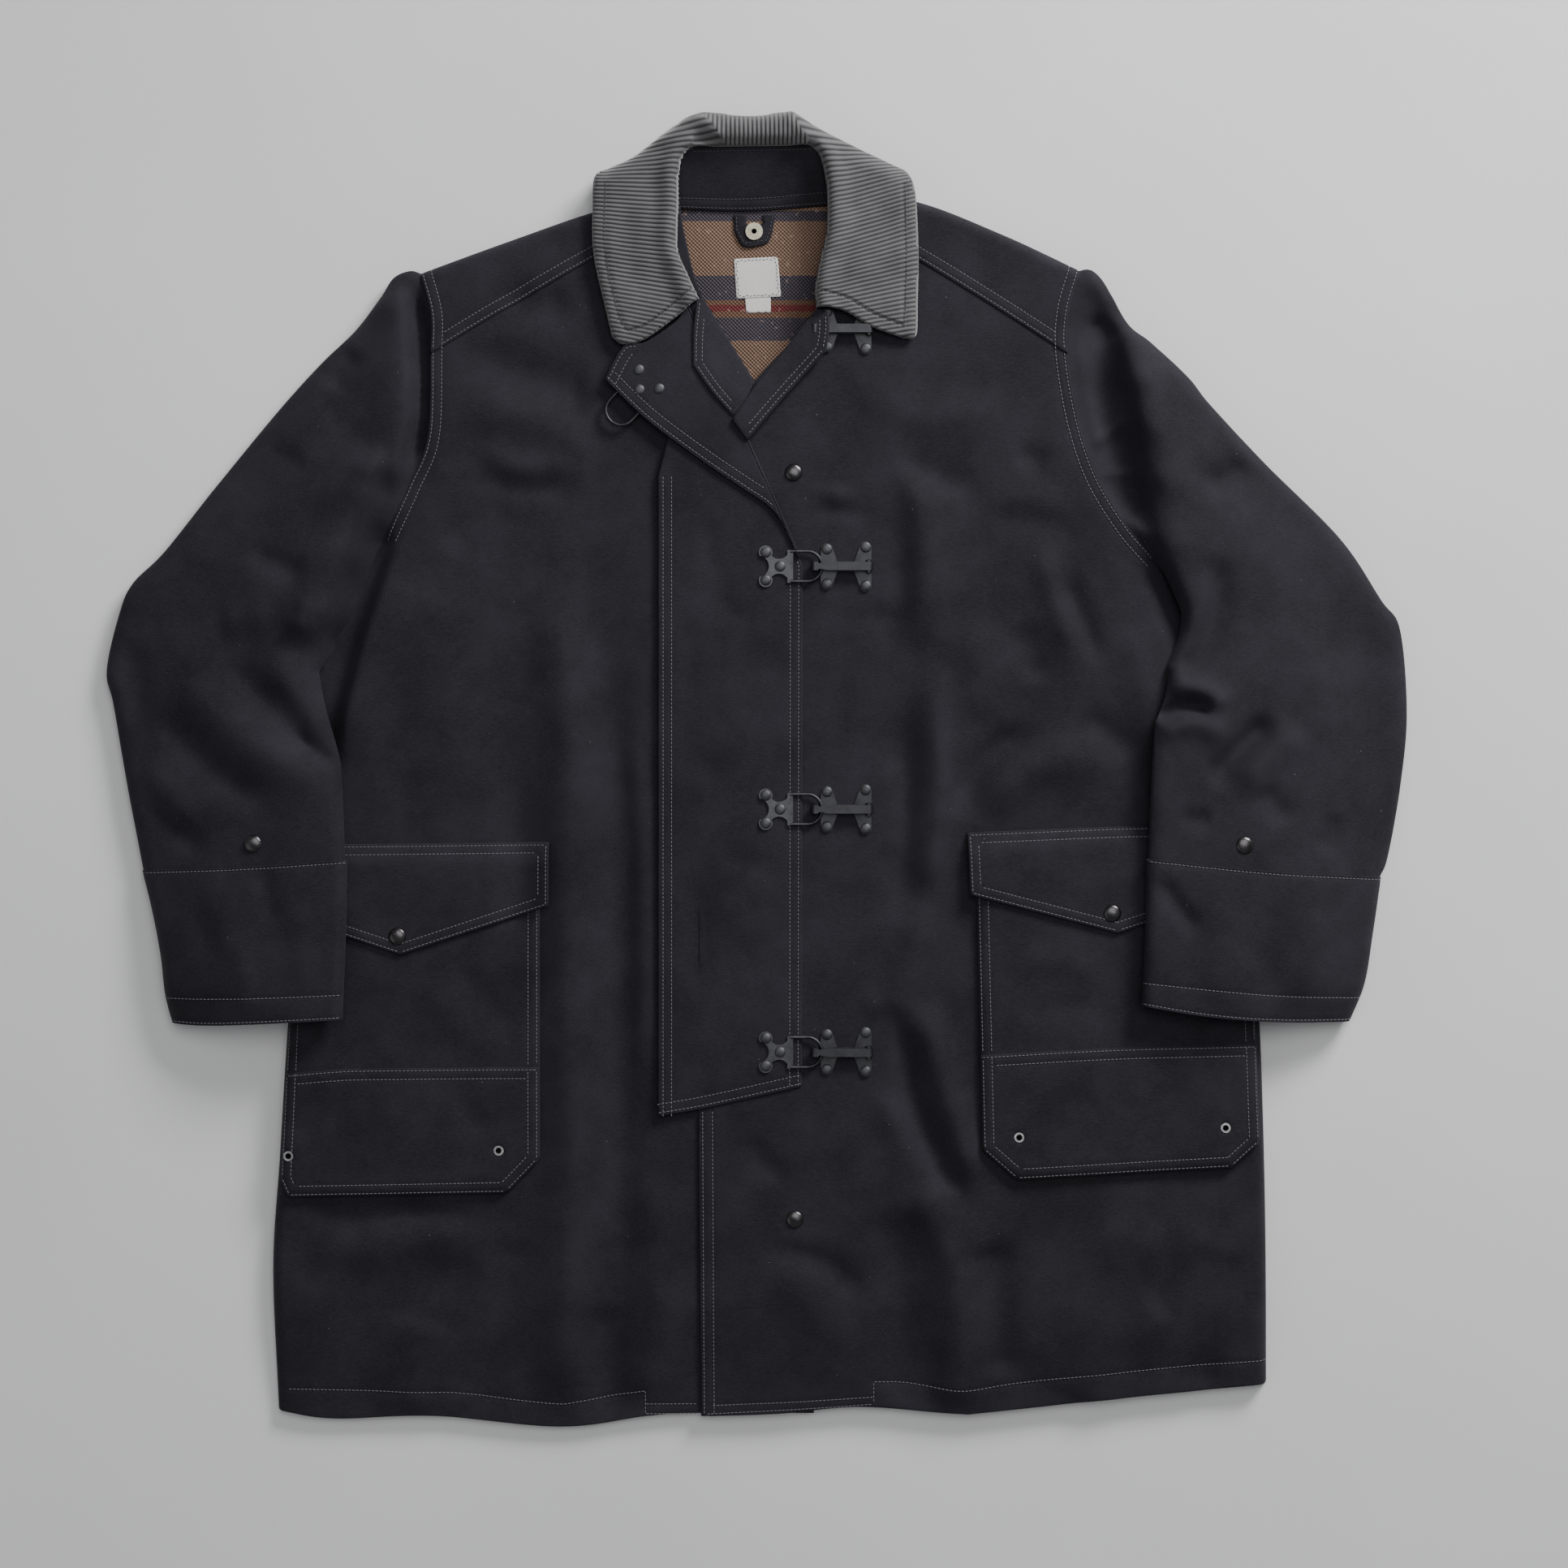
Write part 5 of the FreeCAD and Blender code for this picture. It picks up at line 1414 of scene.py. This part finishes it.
# Plans of the sleeves. The levels are (x, y, height) of places on the upper face.
SLEEVES = {
    "right": {
        "outer": RIGHT_OUTER,
        "armhole": [(-242, 366), (-234, 335), (-234, 305), (-236, 245), (-250, 209), (-268, 172)],
        "underarm": [(-268, 172), (-278, 150), (-292, 122), (-308, 94), (-322, 72)],
        "inner": [[(-322, 72), (-315, 46), (-306, 16), (-303, 4)], [(-303, 4), (-301, -30), (-299.5, -72)]],
        "cuff_seam": [(-452, -74), (-375, -71), (-299, -66)],
        "cuff_outer": [(-452.8, -74), (-445, -104), (-438.6, -136), (-435.6, -164), (-430.5, -186)],
        "cuff_hem": [(-430.5, -186), (-400, -187), (-340, -184), (-301.5, -182)],
        "cuff_inner": [(-301.5, -182), (-299, -120), (-298, -66)],
        "hem_row": [(-433, -167.5), (-400, -167.5), (-350, -166), (-302, -164)],
        "body_side": [(-296, 146), (-311, 118), (-324, 59), (-334, -31), (-346, -186)],
        "levels": [
            (-240, 350, 12.0), (-237, 300, 12.0), (-240, 240, 11.8), (-254, 205, 11.4), (-270, 178, 9.5),
            (-262, 362, 13), (-296, 323, 13), (-340, 278, 13), (-398, 209, 13), (-460, 137, 13),
            (-479, 73, 13),
            (-465, -5, 13), (-452, -74, 13), (-430, -186, 14),
            (-285, 290, 19), (-320, 240, 20), (-360, 190, 20), (-400, 130, 20), (-430, 60, 19),
            (-430, -10, 21),
            (-420, -80, 24), (-412, -160, 26),
            (-284, 200, 20), (-300, 155, 20), (-312, 112, 20), (-326, 82, 22), (-340, 56, 27), (-318, 30, 31),
            (-309, 0, 36), (-304, -66, 38.2), (-305, -182, 38.2), (-280, 168, 6), (-292, 130, 5.5),
            (-310, 96, 6),
            (-366, -54, 35.8), (-352, 0, 36), (-350, -120, 37.4), (-350, -182, 37.4), (-384, 30, 29),
            (-380, 90, 22), (-400, -60, 29.5), (-392, -150, 32.5),
        ],
        "folds": [
            ridge([(-266, 362), (-261, 340), (-257, 284), (-259, 238), (-270, 200)], 7.0, 5, 22, ends=0.15),
            ridge([(-250, 358), (-245, 300), (-247, 255), (-259, 214)], -9.0, 4.5, ends=0.2),
            ridge([(-276, 240), (-287, 196), (-302, 155), (-315, 114), (-328, 80)], 9.0, 6, 22, ends=0.15),
            ridge([(-316, 277), (-304, 292), (-292, 310)], -3.0, 11),
            ridge([(-345, 226), (-325, 250), (-308, 262)], 2.0, 15),
            ridge([(-376, 161), (-350, 150), (-325, 138)], -3.2, 10),
            ridge([(-342, 112), (-334, 106), (-326, 128)], 1.6, 5),
            ridge([(-395, 105), (-372, 108), (-350, 112)], 2.2, 14),
            ridge([(-388, 84), (-374, 64), (-347, 38), (-328, 17), (-302, 4)], -3.6, 13, 10, ends=0.3),
            ridge([(-340, 32), (-324, 14), (-300, 2)], -3.0, 6, 5, ends=0.3),
            ridge([(-360, 84), (-344, 66), (-326, 44), (-310, 22)], 3.0, 11, ends=0.3),
            ridge([(-428, 70), (-374, 24), (-336, 0), (-300, -8)], 4.4, 14, 18, ends=0.2),
            ridge([(-447, 50), (-414, 15), (-374, -14), (-339, -16)], -3.2, 12),
            ridge([(-450, 10), (-428, -20), (-402, -44)], 2.4, 12),
            ridge([(-452, -20), (-426, -42), (-400, -66)], -2.4, 9),
            ridge([(-465, 100), (-455, 60), (-452, 20)], -2.2, 12),
            ridge([(-362, -62), (-356, -90), (-352, -118)], -2.0, 8),
            ridge([(-420, -90), (-404, -112), (-396, -150)], -1.8, 11),
            ridge([(-336, -90), (-330, -130), (-332, -170)], 1.8, 12),
            ridge([(-384, -120), (-374, -150), (-370, -184)], 1.8, 10),
        ],
        "snap": (-366, -54),
        "ease": 8.0,
        "front": right_front,
        "outward": -1,
    },
    "left": {
        "outer": LEFT_OUTER,
        "armhole": [(232, 367), (223, 336), (222, 305), (230, 257), (244, 214), (266, 178), (287, 152)],
        "underarm": [(287, 152), (298, 146), (306, 130)],
        "inner": [
            [(306, 130), (312, 114), (309, 96), (300, 75)],
            [(300, 75), (301, 64), (295, 44), (290.5, 35)],
            [(290.5, 35), (288, 0), (285, -72)],
        ],
        "cuff_seam": [(459, -79), (372, -74), (285, -65)],
        "cuff_outer": [(459.8, -79), (453.5, -121), (447.5, -157), (436.5, -185)],
        "cuff_hem": [(436.5, -185), (380, -184), (330, -180), (280.5, -172)],
        "cuff_inner": [(280.5, -172), (283, -120), (284, -65)],
        "hem_row": [(443, -167.5), (380, -165), (330, -160.5), (282, -155.5)],
        "body_side": [(313, 128), (334, 59), (350, -1), (364, -91), (371, -187)],
        "levels": [
            (228, 345, 14.8), (224, 305, 14.8), (232, 257, 14.8), (246, 215, 14.8), (268, 179, 14.6),
            (288, 155, 14.0),
            (254, 358, 14), (291, 314, 13), (334, 269, 13), (376, 224, 13), (430, 170, 13), (464, 120, 13),
            (478, 60, 13), (474, -13, 13), (459, -79, 13), (436, -185, 14),
            (300, 268, 20), (335, 215, 20), (375, 165, 20), (415, 100, 19), (432, 20, 21), (430, -80, 25),
            (415, -160, 27),
            (256, 320, 9.5), (262, 280, 9), (270, 240, 9), (280, 205, 9.5),
            (245, 302, 9.5), (249, 264, 9.5), (261, 226, 9.5),
            (272, 318, 18), (281, 285, 22), (288, 250, 23), (294, 212, 24), (300, 165, 25), (313, 112, 23.5),
            (308, 84, 28), (300, 60, 31), (297, 30, 34.5), (294, 0, 37),
            (291, -66, 38.2), (286, -178, 38.2), (355, -55, 35.8), (340, 0, 36), (340, -120, 37.6),
            (330, -180, 37.8),
            (345, 60, 29), (350, 112, 24), (385, 40, 27), (398, -50, 31), (390, -150, 33.5),
        ],
        "folds": [
            ridge(
                [(266, 336), (275, 290), (283, 256), (288, 215), (297, 165), (311, 124), (310, 96)],
                5.0, 20, 6.0, ends=0.15,
            ),
            ridge([(248, 345), (254, 300), (264, 250), (278, 200), (290, 168)], -2.5, 12, ends=0.15),
            ridge([(236, 332), (243, 270), (256, 222)], 1.8, 4.5),
            ridge([(242, 236), (256, 246), (276, 264)], 2.4, 4.5),
            ridge([(250, 216), (266, 219), (284, 217)], 2.2, 4.5),
            ridge([(264, 188), (278, 178), (292, 166)], 2.2, 4.5),
            ridge([(240, 362), (256, 350), (266, 338)], 2.0, 8),
            ridge([(246, 334), (256, 322), (266, 320)], -3.6, 6),
            ridge([(336, 160), (337, 120), (324, 84), (302, 66)], -4.2, 11, 9, ends=0.2),
            ridge([(326, 206), (345, 214), (362, 226)], -2.8, 9),
            ridge([(318, 226), (338, 232), (356, 246)], 1.8, 11),
            ridge([(296, 62), (318, 61), (345, 44)], 4.5, 8, ends=0.2),
            ridge([(290, 36), (308, 46), (334, 45)], -6.5, 6, 7, ends=0.2),
            ridge([(290, 28), (320, 34), (342, 22)], 3.6, 9, ends=0.2),
            ridge([(328, -12), (352, 15), (378, 40)], -6.2, 8, 9, ends=0.25),
            ridge([(346, -18), (378, 12), (400, 34)], 4.0, 13),
            ridge([(366, -12), (378, -26), (388, -42)], -2.8, 9),
            ridge([(306, -34), (318, -37), (332, -34)], -2.2, 7),
            ridge([(424, -30), (420, -46), (412, -62)], -2.2, 7),
            ridge([(384, 120), (410, 60), (416, 0)], 2.2, 22),
            ridge([(440, 120), (448, 60), (446, 0)], -2.2, 16),
            ridge([(290, -76), (306, -99), (322, -122)], -3.0, 7),
            ridge([(330, -84), (336, -130), (332, -172)], 1.8, 14),
            ridge([(380, -90), (372, -130), (374, -180)], -1.8, 12),
            ridge([(410, -90), (404, -130), (402, -180)], 1.8, 12),
        ],
        "snap": (355, -54.5),
        "ease": 9.0,
        "front": left_front,
        "outward": 1,
    },
}


def sleeve_faces(plan):
    """Heights of a sleeve's upper and lower faces."""
    through = surface_through(plan["levels"])
    armhole, cuff_seam, body_side = (curve(*plan[key]) for key in ("armhole", "cuff_seam", "body_side"))
    snap_x, snap_y = plan["snap"]

    def top(x, y):
        quiet = smooth(np.hypot(x - snap_x, y - snap_y) / 24 - 0.3)
        near_seam = np.exp(-distance(x, y, cuff_seam) / 7)
        z = through(x, y) + SLEEVE_FOLD_DEPTH * fold_height(x, y, plan["folds"]) * quiet
        z += (0.6 * unevenness(x, y, 48, 15) + 0.3 * unevenness(x, y, 19, 16)) * quiet
        z += 0.5 * near_seam * unevenness(x, y * 0.25, 8, 17) * quiet
        joint = smooth(distance(x, y, armhole) / plan["ease"] - 0.2)
        return np.maximum(joint * z + (1 - joint) * (plan["front"](x, y) - 1.35), LOWEST_SLEEVE_TOP)

    def bottom(x, y):
        over = (x - np.interp(y, body_side[::-1, 1], body_side[::-1, 0])) * plan["outward"] < 0
        out = np.where(over, 0, distance(x, y, body_side))
        z = 0.9 + 24.9 * smooth(1 - out / 62) * smooth((78 - y) / 36)
        return np.minimum(z, top(x, y) - 2.8)

    return top, bottom


def sleeve(side, plan, top, bottom):
    """A sleeve, as a flattened tube from the armhole to the cuff."""
    outer, armhole = curve(*plan["outer"]), curve(*plan["armhole"])
    end = curve(plan["outer"][-1], plan["inner"][-1][-1])
    shoulder = straight(plan["armhole"][0], plan["outer"][0])
    inner = [curve(*run)[::-1] for run in plan["inner"][::-1]]
    outline = joined(outer, end, *inner, curve(*plan["underarm"])[::-1], armhole[::-1], shoulder)
    tube = cloth_tube(side + "_sleeve_cloth", outline, [end, armhole, shoulder], top, bottom, 9.0)
    stands_for(tube, side + "_sleeve")
    declare_cut(tube, outline, layers=2)


def cuff(side, plan, sleeve_top, sleeve_bottom):
    """The band around the end of a sleeve."""
    seam, hem, outer, inner = (curve(*plan["cuff_" + key]) for key in ("seam", "hem", "outer", "inner"))
    outline = joined(seam[::-1], outer, hem, inner)
    rows = [offset(seam, plan["outward"] * 1.9), curve(*plan["hem_row"]), offset(hem, plan["outward"] * -1.7)]
    round_width = 8.0

    def top(x, y):
        return sleeve_top(x, y) + 1.5

    def bottom(x, y):
        return np.maximum(sleeve_bottom(x, y) - 0.8, 0.1)

    def sewing_level(x, y):
        edge = np.minimum(distance(x, y, outer), distance(x, y, inner))
        high = top(x, y)
        middle = 0.5 * (high + bottom(x, y))
        return middle + (high - middle) * rolled(edge, round_width) - 0.25

    band = cloth_tube(side + "_cuff_cloth", outline, [seam, hem], top, bottom, round_width, rows=rows)
    stands_for(band, side + "_cuff")
    sewing = stitches(side + "_cuff_stitches", rows, sewing_level)
    declare_cut(band, outline, layers=2)


def sleeves():
    """Both sleeves with their cuffs."""
    for side, plan in SLEEVES.items():
        faces = sleeve_faces(plan)
        sleeve(side, plan, *faces)
        cuff(side, plan, *faces)


# ------------------------------------------------------------------ pockets

EYELET_HOLE = 2.4
POCKET_EDGE = 2.2  # height of a pocket's sewn edge above the front
FLAP_EDGE = 3.0  # and of a pocket flap's

POCKETS = {
    "right": {
        "front": right_front,
        "front_level": RIGHT_TOP,
        "sides": [[(-159, -62), (-159, -286)], [(-159, -286), (-183, -311)], [(-183, -311), (-344, -314)],
                  [(-344, -314), (-350, -300)], [(-350, -300), (-339, -62)]],
        "mouth": [(-339, -62), (-159, -62)],
        "band": [(-159, -218), (-282, -219), (-310, -220), (-346.5, -223)],
        "flap": [[(-152, -53), (-152, -100)], [(-152, -100), (-261, -136)], [(-261, -136), (-336, -111)],
                 [(-336, -111), (-335, -55)]],
        "flap_top": [(-335, -55), (-152, -53)],
        "eyelets": [(-343, -283), (-189, -279)],
        "snap": (-263, -122),
        "folds": [
            ridge([(-222, -140), (-200, -166), (-178, -196)], -1.6, 9),
            ridge([(-250, -150), (-215, -190), (-190, -212)], 1.4, 12),
            ridge([(-222, -235), (-205, -258), (-190, -280)], -1.4, 8),
            ridge([(-315, -227), (-325, -250), (-338, -278)], -1.2, 8),
            ridge([(-275, -236), (-262, -262), (-256, -300)], 1.2, 16),
        ],
    },
    "left": {
        "front": left_front,
        "front_level": LEFT_TOP,
        "sides": [[(362, -62), (369, -273)], [(369, -273), (348, -292)], [(348, -292), (190, -301)],
                  [(190, -301), (165, -279)], [(165, -279), (160, -62)]],
        "mouth": [(160, -62), (362, -62)],
        "band": [(366.8, -201), (256, -204), (163.4, -209)],
        "flap": [[(358, -42), (360, -88)], [(360, -88), (264, -120)], [(264, -120), (156, -92)],
                 [(156, -92), (154, -46)]],
        "flap_top": [(154, -46), (286, -41), (358, -42)],
        "eyelets": [(192, -269), (343, -262)],
        "snap": (260, -105),
        "folds": [
            ridge([(180, -150), (215, -140), (262, -150)], 1.8, 12),
            ridge([(176, -172), (220, -176), (270, -170)], -1.4, 10),
            ridge([(280, -160), (300, -176), (330, -190)], -1.4, 9),
            ridge([(214, -232), (236, -250), (240, -285)], -1.2, 14),
        ],
    },
}


def line_at(line, x):
    """Height on the plan of a line across, at given places along it."""
    order = np.argsort(line[:, 0])
    return np.interp(x, line[order, 0], line[order, 1])


def part_of(rows, line, side):
    """The parts of rows above a line (side 1) or below it (side -1)."""
    rows = [row[side * (row[:, 1] - line_at(line, row[:, 0])) > 1] for row in rows]
    return [row for row in rows if len(row) > 2]


def inner_rows(runs, outline, insets):
    """Rows of sewing inside an outline, parallel to the given edges and mitred at their corners."""
    rows = []
    for inset in insets:
        for run in runs:
            for sign in (1, -1):
                row = offset(run, sign * inset)
                middle = row[len(row) // 2]
                if inside(middle[None, 0], middle[None, 1], outline)[0]:
                    break
            row = kept_inside(row, outline, inset * 0.94)
            if len(row) > 1:
                rows.append(row)
    return rows


# Each of the next three gives back its piece, outline, rows of sewing and height, for the stitches.


def pocket_bag(side, plan):
    """The patch of the pocket."""
    runs = [straight(*run) for run in plan["sides"]]
    outline = joined(*runs, straight(*plan["mouth"]))
    rise = top_of(side + "_pocket") - plan["front_level"]
    flat_spots = plan["eyelets"] + [plan["snap"]]

    def top(x, y):
        near = np.minimum.reduce([distance(x, y, run) for run in runs])
        quiet = np.minimum.reduce([smooth(np.hypot(x - a, y - b) / 20 - 0.25) for a, b in flat_spots])
        ease = rolled(near, 11.0)
        folds = fold_height(x, y, plan["folds"]) * quiet
        return plan["front"](x, y) + POCKET_EDGE + (rise - POCKET_EDGE) * ease + folds

    rows = inner_rows(runs, outline, (EDGE_ROW, EDGE_ROW + TWIN_GAP))
    bag = cloth_sheet(
        side + "_pocket_bag", outline, top, DUCK, rows=rows, drop=POCKET_EDGE + 0.5, roll=1.5, seam=0.25,
        holes=[(a, b, EYELET_HOLE) for a, b in plan["eyelets"]],
    )
    stands_for(bag, side + "_pocket")
    return bag, outline, rows, top


def pocket_band(side, plan, line, bag_outline, bag_rows, bag_top):
    """The doubled lower part of the pocket, below a line across it."""

    def top(x, y):
        return bag_top(x, y) + CLOTH

    lower = bag_outline[bag_outline[:, 1] < line_at(line, bag_outline[:, 0]) - 0.3]
    start = int(np.argmax(np.hypot(*(np.roll(lower, -1, axis=0) - lower).T)))
    lower = np.roll(lower, -start - 1, axis=0)
    ends_near = np.hypot(*(lower[-1] - line[0])) < np.hypot(*(lower[-1] - line[-1]))
    outline = joined(lower, line if ends_near else line[::-1])
    rows = inner_rows([line], outline, (EDGE_ROW - 0.4, EDGE_ROW + TWIN_GAP - 0.4))
    rows += part_of(bag_rows, line, -1)
    band = cloth_sheet(
        side + "_pocket_band", outline, top, DUCK, rows=rows, seam=0.25, roll=1.5,
        drop=lambda x, y: np.where(distance(x, y, line) < 5, 1.2, CLOTH + POCKET_EDGE + 0.4),
        holes=[(a, b, EYELET_HOLE) for a, b in plan["eyelets"]],
    )
    stands_for(band, side + "_pocket_reinforcement")
    return band, outline, rows, top


def pocket_flap(side, plan):
    """The flap over the pocket's mouth, sewn along its upper edge."""
    sewn = curve(*plan["flap_top"])
    runs = [straight(*run) for run in plan["flap"]]
    outline = joined(*runs, sewn)
    rise = top_of(side + "_pocket_flap") - plan["front_level"]
    snap_x, snap_y = plan["snap"]

    def top(x, y):
        quiet = smooth(np.hypot(x - snap_x, y - snap_y) / 20 - 0.25)
        lump = 0.35 * unevenness(x, y, 33, 51) * quiet
        hinge = smooth(0.15 + 0.85 * distance(x, y, sewn) / 17)
        return plan["front"](x, y) + FLAP_EDGE + (rise - FLAP_EDGE) * hinge + lump

    rows = inner_rows(runs + [sewn], outline, (EDGE_ROW, EDGE_ROW + TWIN_GAP - 0.6))
    flap = cloth_sheet(
        side + "_pocket_flap_cloth", outline, top, DUCK, rows=rows, seam=0.3, roll=1.3,
        drop=lambda x, y: np.where(distance(x, y, sewn) < 4, 2.6, 2.2),
    )
    stands_for(flap, side + "_pocket_flap")
    return flap, outline, rows, top


def pockets():
    """Patch pockets: bag, doubled lower part with drain eyelets, and flap."""
    for side, plan in POCKETS.items():
        band_line = curve(*plan["band"])
        bag, bag_outline, bag_rows, bag_top = pocket_bag(side, plan)
        band, band_outline, band_rows, band_top = pocket_band(
            side, plan, band_line, bag_outline, bag_rows, bag_top
        )
        flap, flap_outline, flap_rows, flap_top = pocket_flap(side, plan)
        on_bag = stitches(side + "_pocket_stitches", part_of(bag_rows, band_line, 1), bag_top)
        on_band = stitches(side + "_band_stitches", band_rows, band_top)
        on_flap = stitches(side + "_flap_stitches", flap_rows, flap_top)
        declare_cut(bag, bag_outline)
        declare_cut(band, band_outline)
        declare_cut(flap, flap_outline)


# ------------------------------------------------------------------ camera, light and floor


def floor():
    """A wide pale floor."""
    half = 12.0
    mesh = bpy.data.meshes.new("floor")
    corners = [(-half, -half, 0), (half, -half, 0), (half, half, 0), (-half, half, 0)]
    mesh.from_pydata(corners, [], [(0, 1, 2, 3)])
    ground = bpy.data.objects.new("floor", mesh)
    bpy.context.scene.collection.objects.link(ground)
    ground.location.z = -0.0005
    finish = Finish("pale_floor")
    tone = finish.ramp(finish.noise(2.2, 4.0), [(0.3, (0.72, 0.72, 0.72)), (0.7, (0.78, 0.78, 0.78))])
    mesh.materials.append(finish.shade({"Base Color": tone, "Roughness": 0.85}))


def lamp(name, place, size, power):
    """A soft lamp turned to the middle of the coat."""
    data = bpy.data.lights.new(name, "AREA")
    data.shape = "RECTANGLE"
    data.size, data.size_y = size
    data.energy = power
    obj = bpy.data.objects.new(name, data)
    obj.location = place
    obj.rotation_euler = Vector(place).to_track_quat("Z", "Y").to_euler()
    bpy.context.scene.collection.objects.link(obj)


def camera():
    """The camera straight above, wide enough for the whole coat."""
    height, width = 2.2, 1.159
    data = bpy.data.cameras.new("camera")
    data.sensor_width = 36.0
    data.lens = data.sensor_width * height / width
    obj = bpy.data.objects.new("camera", data)
    obj.location = (0.020, -0.0105, height)
    bpy.context.scene.collection.objects.link(obj)
    bpy.context.scene.camera = obj


def studio():
    """Pale floor, soft light from the upper right, camera straight above."""
    floor()
    lamp("key", (1.5, 2.0, 1.25), (1.1, 0.8), 95)
    lamp("overhead", (0.35, 0.8, 3.0), (2.2, 1.8), 36)
    lamp("fill", (-1.9, -0.9, 1.6), (1.8, 1.4), 4)
    world = bpy.data.worlds.new("studio")
    world.use_nodes = True
    background = world.node_tree.nodes["Background"]
    background.inputs["Color"].default_value = (0.9, 0.92, 0.95, 1)
    background.inputs["Strength"].default_value = 0.22
    bpy.context.scene.world = world
    camera()


# ------------------------------------------------------------------ metal

CLASP_FINISHES = {
    "dee_plate": PLATE_STEEL, "hook_base": GUNMETAL, "hook_lever": GUNMETAL, "hook_pin": GUNMETAL,
    "hook_spring": SPRING,
}
SMALL_FINISHES = {
    "dee_rivets": RIVET, "hook_rivets": RIVET, "throat_dee_rivets": RIVET,
    "front_snap_caps": SNAP, "pocket_snap_caps": SNAP, "sleeve_snaps": SNAP,
    "front_snap_studs": BRASS, "pocket_snap_studs": BRASS, "hanger_snap": BRASS,
    "pocket_eyelets": SILVER,
}


def metal_nodes():
    """Finishes of the clasps, rivets, snaps and eyelets, which keep their CAD shapes."""
    finishes = {"%s_%d" % (part, k): finish for part, finish in CLASP_FINISHES.items() for k in (1, 2, 3, 4)}
    for node, finish in (finishes | SMALL_FINISHES).items():
        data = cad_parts[node].data
        data.materials.clear()
        data.materials.append(finish)


back()
back_lining()
right_front_piece()
left_front_piece()
yokes()
storm_flap()
facings()
collar()
neck_wall()
collar_stand()
hanger_tab()
neck_label()
size_tab()
sleeves()
pockets()
metal_nodes()
studio()
